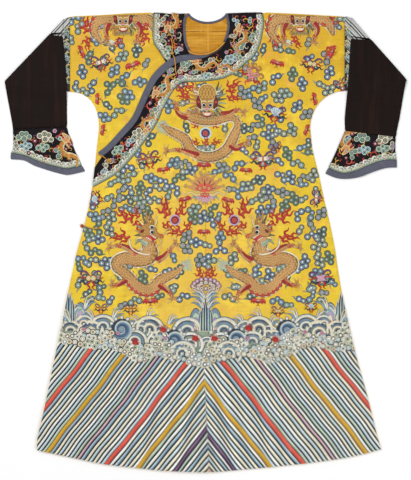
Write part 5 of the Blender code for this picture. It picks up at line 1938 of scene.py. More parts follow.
# ---- Where the motifs go ----
CLOUDS = (  # x, y, lobes, turn
    (375, 700, 2, 45), (-410, 695, 4, 30), (-325, 695, 4, 30), (-190, 695, 3, 45), (220, 695, 4, -15),
    (425, 695, 3, -30), (335, 685, 4, 75), (410, 675, 3, -60), (-395, 670, 4, 60), (-315, 670, 2, -45),
    (-420, 630, 2, -90), (-345, 625, 2, -75), (320, 625, 3, 60), (-265, 620, 2, 90), (-300, 615, 4, -45),
    (225, 610, 5, -60), (180, 605, 2, 60), (-215, 600, 5, 75), (265, 595, 3, -30), (-260, 580, 5, 30),
    (155, 580, 2, 45), (-365, 575, 4, 75), (325, 575, 3, 15), (375, 575, 4, -75), (-325, 560, 5, 60),
    (-185, 560, 2, 45), (125, 550, 2, 60), (335, 550, 3, -60), (-285, 535, 5, 45), (-385, 530, 5, -90),
    (385, 530, 5, 60), (100, 525, 2, -45), (270, 525, 5, 75), (-255, 510, 4, 60), (145, 510, 2, -30),
    (215, 510, 4, 45), (-205, 500, 5, 0), (-275, 495, 4, 0), (300, 495, 5, 90), (-405, 490, 3, 60),
    (-70, 490, 2, 0), (360, 490, 3, -45), (-355, 485, 4, 75), (175, 485, 5, 45), (420, 485, 2, -60),
    (-305, 480, 4, -90), (-15, 480, 5, 30), (385, 475, 5, 30), (-385, 470, 4, -15), (140, 470, 4, 60),
    (115, 465, 5, -75), (250, 465, 5, -30), (-240, 460, 5, -45), (40, 460, 2, 30), (180, 450, 3, 15),
    (225, 450, 5, -45), (-255, 445, 5, -45), (-65, 435, 3, 0), (160, 430, 5, -60), (-305, 425, 3, -60),
    (-115, 425, 5, 75), (285, 425, 5, 45), (205, 415, 3, -15), (-5, 410, 2, -30), (-275, 405, 4, 30),
    (-30, 400, 2, -60), (315, 400, 5, 30), (230, 395, 4, 90), (-315, 390, 5, -30), (170, 380, 4, -60),
    (60, 360, 2, 75), (150, 360, 4, 30), (-60, 355, 2, -90), (120, 355, 5, -15), (210, 355, 4, -30),
    (270, 350, 5, -75), (230, 340, 4, 0), (195, 335, 5, -15), (-175, 320, 4, 60), (140, 320, 4, 45),
    (320, 310, 2, 75), (160, 305, 3, 60), (210, 300, 5, 90), (300, 295, 2, 0), (5, 290, 4, 0),
    (120, 285, 2, -60), (-210, 280, 3, 60), (325, 280, 2, -15), (255, 275, 5, -75), (155, 265, 3, -30),
    (-175, 260, 2, -15), (190, 255, 5, 30), (-100, 250, 5, 30), (230, 250, 2, -60), (-200, 245, 2, 90),
    (-65, 245, 4, -15), (285, 245, 4, -15), (100, 240, 4, 30), (55, 235, 5, -30), (-245, 230, 4, 15),
    (-80, 230, 4, -45), (-45, 225, 5, 15), (35, 220, 3, 0), (335, 210, 5, 75), (-235, 205, 4, 45),
    (75, 205, 4, -30), (235, 205, 4, -45), (-265, 200, 5, -60), (-170, 200, 5, -15), (-85, 200, 4, 15),
    (265, 200, 5, -75), (305, 200, 4, 15), (-5, 195, 2, -75), (165, 195, 5, 15), (-290, 185, 2, 15),
    (-130, 185, 4, -45), (-45, 180, 2, 30), (35, 180, 2, 0), (305, 180, 3, -15), (130, 175, 5, -30),
    (-205, 170, 5, 75), (-150, 170, 3, -60), (-240, 165, 4, -45), (-95, 165, 4, -60), (80, 165, 3, -15),
    (195, 165, 5, 0), (345, 160, 2, 90), (-265, 155, 4, 60), (-120, 155, 4, -75), (105, 155, 4, 60),
    (240, 155, 5, -15), (-180, 150, 4, 75), (175, 145, 4, 75), (-300, 140, 3, 15), (-245, 135, 4, -30),
    (200, 135, 4, -30), (275, 135, 5, -75), (305, 135, 3, 15), (350, 135, 2, 45), (-205, 130, 5, -30),
    (-160, 130, 4, 0), (150, 130, 3, 15), (-350, 125, 5, 75), (-280, 125, 4, 45), (245, 115, 5, 60),
    (-250, 105, 4, 0), (-210, 105, 5, 15), (-35, 105, 5, 15), (200, 105, 5, 30), (20, 100, 4, 60),
    (170, 95, 5, 75), (-315, 90, 4, 45), (-180, 90, 5, -90), (325, 90, 4, -75), (360, 90, 5, 45),
    (290, 85, 4, 60), (-345, 80, 5, -30), (-10, 80, 5, 60), (40, 80, 3, 60), (-295, 75, 5, 60),
    (-40, 75, 5, -75), (85, 75, 3, -15), (-95, 70, 5, 30), (15, 65, 4, -45), (330, 50, 3, -75),
    (-335, 45, 4, 90), (295, 40, 2, 45), (-300, 35, 5, -60), (-365, 30, 5, -45), (360, 30, 5, 45),
    (-60, 20, 5, 45), (330, 20, 4, 0), (45, 15, 5, 75), (-335, 10, 5, -15), (-30, 0, 5, -15),
    (360, 0, 5, -45), (-370, -5, 4, 75), (5, -10, 3, -30), (-60, -20, 5, -45), (45, -25, 4, 0),
    (345, -25, 4, -60), (-345, -30, 4, 0), (-100, -50, 3, -90), (85, -50, 5, 60), (385, -50, 5, -75),
    (-385, -55, 4, -30), (-20, -55, 5, 75), (0, -55, 4, 60), (-355, -60, 4, 30), (-310, -60, 5, 15),
    (310, -60, 5, -90), (355, -60, 5, -60), (15, -65, 4, 45), (-230, -70, 2, 15), (-395, -75, 3, 90),
    (-295, -80, 4, -15), (160, -80, 2, 30), (235, -80, 3, 15), (285, -80, 5, 0), (-165, -85, 3, -30),
    (-120, -90, 3, 15), (-85, -90, 5, 60), (115, -90, 3, 0), (75, -95, 5, -45), (345, -95, 5, 15),
    (160, -100, 2, 0), (200, -105, 5, -75), (-345, -110, 5, 90), (-195, -110, 5, -75), (-375, -115, 5, 0),
    (-260, -115, 3, -45), (255, -115, 3, 60), (380, -115, 3, 90), (350, -120, 4, -15), (180, -125, 2, -60),
    (-325, -140, 2, 0), (-100, -140, 2, 0), (95, -140, 3, -15), (330, -145, 2, 0),
)
BATS = (  # x, y, size, turn
    (-6, 238, 1, 0), (125, 222, 0.9, -6), (-132, 224, 0.9, 8), (-6, 30, 0.9, 0), (-65, 132, 0.9, 14),
    (69, 129, 0.9, -14), (-336, 447, 0.8, 90), (-319, 350, 0.8, 80), (-227, 550, 1.1, 20),
    (-173, -186, 1.05, 4), (163, -186, 1.05, -4), (337, 447, 0.9, -80), (397, 594, 0.9, 70),
    (222, 556, 1, -15), (-390, 594, 0.9, -70), (316, 350, 0.8, 70), (-349, 282, 0.7, 85),
)
TREASURES = (  # x, y, kind, size, turn
    (216, 403, "fan", 0.95, -10), (-327, 562, "scroll", 0.9, 12), (-177, 260, "gourd", 0.95, 10),
    (-358, -112, "coins", 1, 0), (359, -112, "lozenges", 1, 8), (331, 556, "coins", 0.9, -12),
    (178, 260, "scroll", 1, 0), (-343, 135, "fan", 0.7, 85), (422, 494, "gourd", 0.7, 20),
    (344, 138, "scroll", 0.7, 80), (-234, -208, "gourd", 0.6, 0), (225, -214, "coins", 0.6, 0),
    (-327, -205, "lozenges", 0.55, 0), (328, -202, "fan", 0.55, 0), (219, 297, "lozenges", 0.55, 20),
)
FLAMES = (  # x, y, size, turn, flip
    (-68, 459, 0.9, 62, 1), (-40, 484, 0.8, 55, -1), (72, 481, 0.95, -30, 1), (78, 456, 0.85, -80, 1),
    (-56, 447, 0.6, 100, 1), (-31, 360, 0.55, 62, 1), (29, 360, 0.55, -62, -1), (-28, 313, 0.6, 62, -1),
    (-3, 307, 0.6, 8, 1), (25, 313, 0.6, -62, 1), (-131, 91, 1.15, 20, 1), (-124, 57, 0.8, -100, 1),
    (-78, 88, 0.95, -38, -1), (-81, 38, 0.95, 78, -1), (-62, 48, 0.75, -20, 1), (-243, 69, 1.15, 68, 1),
    (-215, 51, 0.9, -112, -1), (-252, 20, 1.1, 70, -1), (-218, 82, 0.7, 20, 1), (122, 91, 1.15, -20, -1),
    (116, 57, 0.8, 100, -1), (69, 88, 0.95, 38, 1), (72, 38, 0.95, -78, 1), (54, 48, 0.75, 20, -1),
    (234, 69, 1.15, -68, -1), (206, 51, 0.9, 112, 1), (244, 20, 1.1, -70, 1), (210, 82, 0.7, -20, -1),
    (-380, 665, 1, 10, 1), (-374, 631, 0.8, 170, -1), (-193, 662, 0.95, -15, -1), (-184, 640, 0.85, 165, 1),
    (-265, 628, 0.7, 150, 1), (200, 675, 1, 10, 1), (213, 637, 0.9, 165, -1), (397, 678, 0.9, -15, -1),
    (390, 600, 0.8, 175, 1), (272, 631, 0.8, 200, -1), (-21, -105, 0.7, 25, 1), (22, -105, 0.7, -25, -1),
    (0, -99, 0.6, 0, 1),
)
CLEAR_OF_CLOUDS = (  # x, y, half width, half height
    (-3, 166, 66, 44), (0, -127, 58, 30), (-96, 69, 34, 34), (88, 69, 34, 34), (0, 341, 44, 44),
)
LOW_CLOUDS = (  # x, y, lobes, turn
    (-368, -158, 3, 20), (-330, -149, 2, 80), (-327, -174, 3, -30), (-361, -180, 2, 10),
    (-296, -180, 3, 40), (-221, -183, 4, 10), (-258, -196, 2, 15), (-99, -143, 2, 60), (-71, -171, 4, 20),
    (369, -158, 3, -20), (331, -149, 2, -80), (328, -174, 3, 30), (362, -180, 2, -10), (297, -180, 3, -40),
    (222, -183, 4, -10), (259, -196, 2, -15), (100, -143, 2, -60), (72, -171, 4, -20), (-396, -127, 3, 60),
    (397, -127, 3, -60), (-143, -168, 2, 0), (144, -168, 2, 0), (-12, 294, 2, 0), (16, 294, 2, 20),
)
COVERED = 566  # the lapel covers the inner front below this height
HEM_TURN = math.radians(52)
HEM_TOP = -288.0
HEM_AXIS = ((-6, -260), (-6, -399), (11, -712))  # x, y of the line on which the stripes of both sides meet
STRIPES = {  # distance of a coloured stripe across the slant, its colour, and the stripes up to the next
    "right": ((-445, "lilac", 7), (-362, "purple", 8), (-267, "gold", 7), (-184.6, "red", 7),
              (-102, "pink", 8),
              (-14, "gold", 8), (76, "red", 10), (190, "plain", 0)),
    "left": ((-430, "lilac", 6), (-366, "purple", 8), (-274.5, "gold", 7), (-188, "red", 7),
             (-101, "pink", 8),
             (-10, "gold", 8), (85, "red", 10), (199, "plain", 0)),
}
PLAIN_STRIPES = (
    "white white steel", "white cream haze", "white ice blue", "white cream stone",
    "white sky slate", "white white haze", "white mint deep", "white ice steel",
)
STRIPE_SILKS = {
    "red": "coral coral maroon", "gold": "honey honey brown",
    "pink": "cream rose slate", "purple": "rose purple slate", "lilac": "cream rose slate",
}
CRAGS = ((-432, -246, 112), (428, -246, 112), (-1, -278, 118))  # x, y and height
PEAKS = (  # x, y, width, height and the colour of its heart
    (-391, -252, 44, 66, "coral"), (388, -252, 44, 66, "coral"), (-31, -276, 44, 72, "rose"),
    (29, -276, 44, 72, "rose"), (-62, -276, 30, 40, "coral"), (60, -276, 30, 40, "coral"),
)
FRONT_PLUMES = (  # x, y, height, lean and how far to the front
    (-380, -208, 42, 1, 0.5), (381, -208, 42, -1, 0.5), (-433, -243, 50, -1, 2), (-421, -249, 40, -1, 2),
    (-443, -261, 34, -1, 2), (431, -243, 50, 1, 2), (419, -249, 40, 1, 2), (440, -261, 34, 1, 2),
    (1, -172, 24, 1, 0.9), (2, -186, 30, 1, 0.9), (5, -204, 30, 1, 0.9), (-3, -172, 24, -1, 0.9),
    (-4, -186, 30, -1, 0.9), (-7, -204, 30, -1, 0.9),
)
SEA_TOP = ((-468, -199), (-424, -227), (-380, -243), (-318, -246), (-262, -249), (-205, -271), (-168, -249),
           (-118, -274), (-62, -261),
           (0, -280), (63, -261), (116, -274), (175, -246), (225, -268), (269, -246), (325, -243),
           (381, -249), (422, -230),
           (468, -205))
SEA_FOOT = ((-468, -302), (-408, -314), (-352, -330), (-299, -327), (-246, -346), (-202, -374), (-165, -349),
            (-124, -352), (-65, -370),
            (-6, -386), (50, -367), (107, -349), (156, -358), (206, -370), (244, -358), (294, -327),
            (356, -321), (406, -339),
            (468, -330))
SWELLS = (  # x, y, radius, colours
    (-446, -236, 30, 0), (-380, -255, 26, 1), (-202, -271, 26, 1), (-143, -286, 26, 2), (4, -317, 22, 1),
    (125, -271, 26, 1), (194, -286, 26, 2), (369, -255, 26, 1), (440, -236, 30, 0), (-321, -264, 36, 0),
    (-174, -271, 38, 2), (-59, -277, 40, 0), (57, -277, 40, 0), (166, -271, 38, 2), (312, -264, 36, 0),
    (-421, -277, 32, 2), (-361, -283, 38, 2), (-293, -299, 32, 1), (-221, -308, 34, 0), (-149, -311, 32, 1),
    (-46, -317, 34, 3), (47, -317, 34, 3), (144, -311, 32, 1), (213, -308, 34, 0), (284, -299, 32, 1),
    (353, -283, 38, 2), (412, -277, 32, 2), (-74, -346, 36, 0), (72, -346, 36, 0), (-455, -305, 24, 3),
    (453, -305, 24, 3),
)
SWELL_SILKS = ("cream sky steel", "cream ice steel", "cream stone blue", "white stone haze")
SPIRALS = (-262, -271, 33), (-99, -305, 33), (94, -302, 33), (253, -274, 33)
PLUMES = (  # x, y, height, lean
    (-293, -243, 40, 1), (-349, -239, 30, -1), (-187, -249, 44, 1), (-205, -261, 34, -1),
    (-118, -255, 30, 1), (175, -249, 44, -1), (197, -261, 34, 1), (119, -255, 30, -1), (288, -243, 40, -1),
    (344, -239, 30, 1), (-418, -224, 30, 1), (406, -224, 30, -1),
)
SEA_GIFTS = (  # x, y, kind
    (-134, -268, "coral"), (-221, -308, "coral"), (132, -264, "coral"), (216, -299, "coral"),
    (-380, -271, "flower"), (-274, -283, "flower"), (-127, -299, "flower"), (128, -299, "flower"),
    (309, -280, "flower"), (362, -283, "flower"), (-34, -296, "coral"), (25, -296, "coral"),
)
STRIDING = (  # x, y, width of the body from neck to tail, from the middle of the head
    (-12, -18, 30), (-4, -46, 44), (-4, -72, 54), (-38, -84, 50), (-72, -82, 41), (-100, -88, 34),
    (-106, -107, 31), (-86, -123, 32), (-66, -142, 34), (-46, -166, 36), (-16, -182, 39), (13, -175, 38),
    (29, -153, 34), (52, -139, 30), (78, -128, 24), (96, -115, 14), (104, -104, 5),
)
COILED = (  # the same for the coiled dragon
    (-68, -30, 26), (-46, -45, 31), (-10, -53, 33), (28, -53, 31), (56, -47, 26), (78, -46, 21),
    (92, -56, 19), (95, -73, 22), (88, -93, 28), (78, -115, 32), (65, -140, 33), (40, -160, 32),
    (4, -169, 31), (-32, -161, 31), (-55, -140, 30), (-66, -115, 30), (-88, -100, 28), (-113, -88, 24),
    (-133, -76, 14), (-144, -66, 5),
)


def outer_front():
    """The whole outer front in one outline: left front, and right front up to the collar."""
    right = side_line("right", COLLAR_EDGE[-1][1] - 4)
    return [*body_side("left"), *hem_line(RIGHT_END, LEFT_END)[::-1], *right[::-1], *COLLAR_OUTSIDE[::-1]]


def inner_front():
    """What shows of the right front above the lapel."""
    side = [p for p in body_side("right") if p[1] > NECK_EDGE[-1][1] + 6]
    lapel = [p for p in TRIM_OUTSIDE[::-1] if p[0] < -128]
    return [*side, *lapel, *(p for p in INNER_RING[::-1] if p[1] > COVERED)]


def inner_collar_front():
    ring = [p for p in INNER_RING if p[1] > COVERED]
    return [*ring, (-118, COVERED), (-90, 588), *(p for p in INNER_INSIDE[::-1] if p[1] > 588)]


def hem_side(side):
    """The striped part of one side of the hem, from the line where both sides meet."""
    hand = 1 if side == "left" else -1
    axis = [(x + 0.15 * hand, y) for x, y in HEM_AXIS]
    foot = axis[-1][0]
    bottom = hem_line(foot, LEFT_END) if side == "left" else hem_line(RIGHT_END, foot)[::-1]
    return axis + bottom + [p for p in side_line(side) if p[1] < HEM_TOP][::-1]


def hem_stripes(side):
    """Slanting stripes of the deep water, evenly spaced between the coloured ones."""
    work = Needlework()
    spot = Spot(work)
    cos, sin = math.cos(HEM_TURN), math.sin(HEM_TURN)
    hand = 1 if side == "left" else -1
    far = np.arange(0, 560, 9)
    count = 0
    for (start, colour, steps), (end, _, _) in zip(STRIPES[side], STRIPES[side][1:]):
        for step in range(steps):
            level = start + (end - start) * step / steps
            width = (end - start) / steps
            silks = PLAIN_STRIPES[count % len(PLAIN_STRIPES)] if step else STRIPE_SILKS[colour]
            count += 1
            first = min(level / cos + 20, HEM_TOP + 14)
            x = hand * (level - first * cos) / sin
            wave = 1.5 * np.sin(far / 47 + level / 60) + 0.8 * np.sin(far / 19 + level / 31)
            rows = columns(x + hand * (far * cos + wave * sin), first - far * sin + wave * cos)
            rows = rows[rows[:, 1] < np.interp(rows[:, 0], *np.array(SEA_FOOT, float).T) + 13]
            past_hem = rows[:, 1] < hem(rows[:, 0]) - 16
            rows = rows[: max(2, int(np.argmax(past_hem)) if past_hem.any() else len(rows))]
            if len(rows) > 2:
                colours = silks.split()[::-hand]
                proud = colour in ("gold", "red") and step == 0
                wide, base = (1.3, 0.95) if proud else (1.03, 0.25)
                spot.ribbon(rows, width * wide, colours, base, 0.75, 0, 0.5, "none", 1, True)
                edge = rows + np.array([-hand * sin, -cos]) * width * 0.5
                spot.ribbon(edge, 7.6, "ink", 0.4, 0.7, 0, 0.5, "none", 1)
    return work


def clouds(rows, outline):
    """Clouds at their places, where they lie on the panel."""
    work = Needlework()
    shown = inside(rows, outline)
    for number, (x, y, lobes, turn) in enumerate(rows):
        clear = all(abs(x - cx) > wide or abs(y - cy) > high for cx, cy, wide, high in CLEAR_OF_CLOUDS)
        if shown[number] and clear:
            silks = CLOUD_SILKS[(number * 5 + lobes) % len(CLOUD_SILKS)]
            cloud(Spot(work, x, y, 1, turn), lobes - (lobes > 2), silks)
    return work


def inside(rows, outline):
    """Which rows, by their x and y, lie inside the outline."""
    return within(np.array([row[:2] for row in rows], float), np.array(outline, float))


def foam(work, seed=7):
    """Foam along the foot of the sea, lobe beside lobe, over the tops of the stripes."""
    dice = np.random.default_rng(seed)
    spot = Spot(work)
    for column, x in enumerate(np.arange(-470, 471, 15.5)):
        head, foot = (np.interp(x, *np.array(edge, float).T) for edge in (SEA_TOP, SEA_FOOT))
        rise = (head - foot) * (0.56 + 0.16 * math.sin(x / 31) + 0.08 * math.sin(x / 13))
        for row, y in enumerate(np.arange(foot + 3, foot + max(rise, 22), 14.5)):
            silks = FOAM_SILKS[int(dice.integers(len(FOAM_SILKS)))]
            off_x, off_y = dice.normal(0, 1.8, 2)
            size = 10.2 + dice.normal(0, 0.7)
            level = 2.5 - 0.008 * (y - foot) + 0.05 * (column % 3)
            spot.disc(x + 7.5 * (row % 2) + off_x, y + off_y, size, silks, level)


def sea():
    """Mountains, swells, spirals, spray and foam above the stripes."""
    work = Needlework()
    Spot(work).patch([*SEA_TOP, *SEA_FOOT[::-1]], "slate haze", 0.1, 0.25, curved=0)
    for x, y, height in CRAGS[:2]:
        crag(Spot(work, x, y), 46, height)
    for x, y, width, height, heart in PEAKS:
        peak(Spot(work, x, y), width, height, heart)
    for x, y, height in CRAGS[2:]:
        crag(Spot(work, x, y), 46, height)
    for x, y, height, lean, level in FRONT_PLUMES:
        plume(Spot(work, x, y, base=level), height, lean)
    for x, y, height, lean in PLUMES:
        plume(Spot(work, x, y), height, lean)
    for number, (x, y, radius, silks) in enumerate(SWELLS):
        lean = 24 * math.sin(number * 2.4)
        front = 1.6 if abs(x) < 90 and y < -330 else 0.1 + 0.014 * number
        swell(Spot(work, x, y, turn=lean, base=front), radius, SWELL_SILKS[silks])
    for x, y, radius in SPIRALS:
        spiral(Spot(work, x, y, base=0.9), radius)
    for x, y, kind in SEA_GIFTS:
        gift = Spot(work, x, y, 0.8, base=2.2)
        if kind == "flower":
            flower(gift, "purple rose red")
        else:
            for turn in (-50, 0, 50):
                tongue(gift.spot(0, -8, 0.5, turn))
            gift.patch(((-11, -12), (11, -12), (8, 0), (-8, 0)), "maroon red", 0.5, rim=1.4)
    foam(work)
    return work


def legs(spot, *routes):
    for route, turn, flames in routes:
        leg(spot, route, turn, flames)


def dragons():
    """The coiled dragon on the breast, the two striding dragons below it and one over the shoulder."""
    work = Needlework()
    centre = Spot(work, 4, 434)
    legs(centre, (((72, -128, 1.2), (92, -140, 0.9), (106, -132, 0.6), (122, -124, 0.4)), 20, -1))
    scaled_body(centre, COILED, (2, 2))
    for turn in (150, 110, 185, 220):
        tongue(centre.spot(-134, -68, 0.7, turn), "teal mint")
    legs(
        centre.spot(base=0.3),
        (((-60, -42, 1.2), (-84, -34, 0.95), (-96, -18, 0.6), (-97, -4, 0.4)), 100, 1),
        (((46, -40, 1.3), (70, -34, 1.0), (92, -22, 0.7), (112, -28, 0.4)), -5, 1),
        (((-26, -168, 1.1), (-60, -156, 1.0), (-92, -146, 0.7), (-124, -150, 0.4)), 190, -1),
    )
    frontal_head(centre.spot(base=0.6))
    pearl(Spot(work, -1, 340, 1.1))
    for x, y, flip in ((-174, 32, 1), (166, 32, -1)):
        dragon = Spot(work, x, y, 1, 0, flip)
        legs(
            dragon,
            (((-74, -146, 1.0), (-96, -160, 0.8), (-104, -166, 0.6), (-116, -162, 0.4)), 175, 1),
            (((28, -160, 1.1), (50, -176, 0.9), (62, -190, 0.6), (70, -204, 0.4)), -55, -1),
        )
        scaled_body(dragon, STRIDING, (0.55, 0.74))
        for turn in (-60, -95, -25):
            tongue(dragon.spot(104, -104, 0.7, turn), "teal mint")
        legs(
            dragon.spot(base=0.3),
            (((-38, -74, 1.3), (-70, -52, 1.1), (-98, -42, 0.7), (-124, -48, 0.4)), 185, -1),
            (((22, -92, 1.2), (44, -78, 0.9), (62, -56, 0.6), (78, -36, 0.4)), 50, 1),
        )
        neck = ((-64, -22), (-60, -46), (-42, -62), (-14, -70), (0, -68))
        dragon.ribbon(neck, 5.4, "brown cream", 2.2, 0.6, taper="none")
        profile_head(dragon.spot(-6, -2, 1.2, -42, base=0.7))
    for x, y, flip in ((-96, 69, 1), (88, 69, -1)):
        pearl(Spot(work, x, y, 1, 0, flip, 0.5), "maroon coral lilac")
    over_shoulder(Spot(work, 294, 697))
    return work


def over_shoulder(spot):
    """The lower half of a dragon that faces the front from the shoulder fold."""
    for rows in (
        ((-20, -6, 30), (-56, 2, 36), (-86, -14, 34), (-90, -44, 26), (-74, -66, 14), (-66, -80, 4)),
        ((22, -6, 30), (56, 0, 36), (84, -8, 32), (98, -34, 20), (104, -52, 6)),
    ):
        scaled_body(spot, rows, (0.4, 0.7))
    legs(
        spot,
        (((-48, -12, 1.2), (-56, -36, 0.9), (-50, -58, 0.6), (-48, -72, 0.4)), -95, 1),
        (((40, -14, 1.2), (52, -34, 0.9), (46, -58, 0.6), (44, -70, 0.4)), -85, 1),
    )
    frontal_head(spot.spot(0, -2, 0.9, base=0.6))
    fan = spot.spot(-38, -66, base=0.2)
    for angle in range(-60, 61, 20):
        silks = ("teal mint", "moss cream")[angle // 20 % 2]
        fan.ribbon([polar(reach, angle - 90) for reach in (0, 9, 24)], 5, silks, 0.4)


def strew(work, outline):
    """The bats, lucky objects in ribbons and loose flames that lie inside an outline."""
    for shown, (x, y, size, turn) in zip(inside(BATS, outline), BATS):
        if shown:
            bat(Spot(work, x, y, size * 1.3, turn, base=0.35))
    for shown, (x, y, kind, size, turn) in zip(inside(TREASURES, outline), TREASURES):
        if shown:
            treasure(Spot(work, x, y, size * 1.2, turn, base=0.35), kind)
    for shown, row in zip(inside(FLAMES, outline), FLAMES):
        if shown:
            tongue(Spot(work, *row, base=0.3))


def emblems():
    """Bats, lucky objects in ribbons, lotuses, the endless knot and loose flames."""
    work = Needlework()
    strew(work, outer_front())
    lotus(Spot(work, -3, 144, 1, 180, base=0.3), "brown rose maroon")
    lotus(Spot(work, -4, 176, 1.7, base=0.5), "brown fawn maroon")
    scalloped_seat(Spot(work, 0, -141, 0.95, base=0.3))
    knot_emblem(Spot(work, 144, 525, 1.2, -35, base=0.4), "maroon pink")
    return work


def shoulder_emblems():
    """The dragon over the right shoulder, and what else shows above the lapel."""
    work = Needlework()
    over_shoulder(Spot(work, -258, 697))
    strew(work, inner_front())
    return work


# ---- Collar, cuffs and bands ----
def surf_border(work, curve, inward, width=21, pitch=18):
    """A pale border of small breaking waves along a curve, kept to one side of it."""
    path = np.array(curve, float)
    along = np.gradient(path, axis=0)
    along /= lengths(along)[:, None]
    normal = columns(-along[:, 1], along[:, 0]) * inward
    middle = path + normal * width * 0.42
    Spot(work).ribbon(middle, width * 0.8, "deep haze", 0.15, 0.3, 0, 0.2, "none", 1, True)
    far = distances(path)
    for number, at in enumerate(np.arange(4, far[-1], pitch)):
        x, y, nx, ny = (np.interp(at, far, column) for column in (*path.T, *normal.T))
        turn = math.degrees(math.atan2(ny, nx)) - 90
        wave = Spot(work, x + nx * width * 0.3, y + ny * width * 0.3, 1, turn)
        inner = ("slate sky", "deep haze", "moss stone")[number % 3]
        for k, (r, silks) in enumerate(((12.5, "deep cream"), (8.6, inner), (4.8, "haze cream"))):
            route = [(r * math.cos(a), r * math.sin(a) * 1.1) for a in np.radians(np.linspace(172, 8, 7))]
            wave.ribbon(route, 3.6, silks, 0.4 + 0.09 * k, 0.4, taper="none", steps=2)
        if number % 2:
            wave.ribbon(((6, 6), (10, 14), (17, 14), (19, 7)), 5.2, "stone white", 0.7, 0.4, steps=3)
        else:
            wave.disc(9, 9, 5.4, "slate stone white", 0.7, 0.4)


def small_dragon(spot):
    """A little running dragon for the collar and cuffs."""
    rows = ((-6, -4, 12), (2, -16, 14), (20, -20, 14), (34, -8, 13), (48, -2, 10), (60, -12, 6), (66, -18, 3))
    spot.ribbon(rows, 1, "brown honey cream", 0.3, 0.8, 0.4, 0.3, "none")
    path = through(rows, 3)
    for number, (x, y, width) in enumerate(path[1:-1]):
        silks = ("maroon orange red", "maroon gold red")[number % 2]
        spot.shape("scale", x, y, width * 0.4, silks, 40 * number, 1, 0.4, 0.3)
    for x, y, turn in ((0, -20, 215), (34, -16, -50), (20, -28, 250), (46, 6, 70)):
        foot = spot.spot(x, y)
        knee_x, knee_y = polar(6, turn)
        foot.ribbon(((0, 6), (knee_x, knee_y + 3), (0, 0)), 5, "maroon red")
        for lean in (-40, 0, 40):
            foot.ribbon(((0, 0), polar(8, turn + lean)), 3, "straw gold", 0.6, 0.4, steps=2)
    head = spot.spot(-8, 6, 0.5, 15, -1, 0.4)
    for i in range(5):
        lock = ((-12, 14 - 8 * i), (-26, 18 - 10 * i), (-42, 10 - 9 * i))
        head.ribbon(lock, 9, ("cream gold", "maroon red")[i % 2], 0.4)
    skull = ((-20, 0), (-12, 18), (8, 20), (30, 16), (30, 6), (10, 0), (26, -8), (4, -20), (-16, -14))
    head.patch(skull, "straw fawn", 0.8, 0.8, rim=2)
    head.disc(4, 10, 7, "maroon white ink", 1.8, 0.4)
    head.ribbon(((8, -3), (20, -4), (32, -2)), 6, "maroon red", 1.7, 0.4)


def tendril(spot, silks):
    """Scrolling tongues that fill the ground between the larger motifs."""
    light, dark = silks
    spot.ribbon(((-14, -4), (-6, 5), (4, 4), (10, -4), (4, -9), (0, -4)), 5.2, light, 0.25, 0.5)
    spot.ribbon(((6, 6), (14, 9), (20, 3), (16, -3)), 4.6, dark, 0.25, 0.5)
    spot.ribbon(((-8, 6), (-14, 11), (-21, 7)), 4.2, light, 0.25, 0.5)
    spot.ribbon(((-10, -8), (-18, -12), (-22, -5)), 4, dark, 0.25, 0.5)


COLLAR_CLOUDS = (  # x, y, lobes, turn, size
    (-59, 558, 4, 0, 0.95), (-74, 537, 3, 20, 0.85), (75, 569, 5, 12, 1), (100, 581, 3, -30, 0.85),
    (-112, 530, 3, 60, 0.8), (19, 569, 2, 0, 0.8), (0, 519, 4, 0, 0.8), (-137, 481, 3, 60, 0.9),
    (-165, 406, 3, 58, 0.9), (-215, 338, 4, 50, 1.05), (-237, 313, 3, 40, 0.9), (-274, 288, 4, 30, 1),
    (-255, 269, 3, 50, 0.85), (-305, 247, 3, 40, 0.95), (-87, 594, 3, 70, 0.85), (-118, 594, 4, 80, 0.95),
    (-134, 637, 3, 80, 0.8), (-137, 687, 3, 70, 0.8), (94, 687, 3, -60, 0.8), (144, 637, 3, 80, 0.85),
    (107, 612, 4, 30, 0.95), (85, 644, 2, 0, 0.7), (138, 693, 2, 70, 0.7), (-34, 531, 2, 0, 0.75),
    (-193, 375, 2, 50, 0.8), (50, 550, 3, 0, 0.8), (-318, 222, 2, 40, 0.8), (-106, 662, 2, 90, 0.7),
)
COLLAR_FLOWERS = (  # x, y, size, colours
    (64, 592, 0.62, 0), (-112, 530, 0.6, 1), (-76, 601, 0.62, 0), (-81, 516, 0.6, 1), (60, 547, 0.55, 1),
    (-124, 656, 0.5, 2), (-115, 628, 0.5, 2), (-184, 388, 0.6, 2), (-246, 291, 0.6, 2), (116, 662, 0.6, 2),
    (94, 594, 0.5, 0), (-49, 528, 0.5, 1), (-174, 434, 0.5, 0), (-290, 257, 0.55, 1), (-74, 615, 0.5, 2),
    (32, 525, 0.5, 2),
)
TENDRILS = (
    ("brown honey", "maroon red"), ("maroon coral", "maroon maroon"), ("maroon red", "brown gold"),
    ("brown gold", "maroon rose"), ("moss stone", "ink maroon"), ("brown orange", "ink purple"),
)
FLOWER_SILKS = ("ink rose maroon", "ink lilac maroon", "ink maroon rose")


def collar_work():
    """Dragons, clouds and blossoms on the dark collar, inside its border of waves."""
    work = Needlework()
    filled(work, collar_front(), 29, 3, 13)
    surf_border(work, through(COLLAR_EDGE, 6), -1)
    for x, y, size, turn, flip in (
        (-24, 559, 1, 4, 1), (50, 537, 0.8, 172, -1), (-146, 469, 1.1, 62, 1), (-187, 356, 0.9, 232, -1),
        (107, 656, 1.05, 75, -1),
    ):
        small_dragon(Spot(work, x, y, size, turn, flip, 0.2))
    sprinkle(work, COLLAR_CLOUDS, COLLAR_FLOWERS)
    return work


def inner_collar_work():
    work = Needlework()
    filled(work, inner_collar_front(), 27, 5, 11)
    surf_border(work, through(INNER_COLLAR, 6), 1)
    small_dragon(Spot(work, -112, 675, 1, 80, 1, 0.2))
    sprinkle(work, COLLAR_CLOUDS, COLLAR_FLOWERS)
    return work


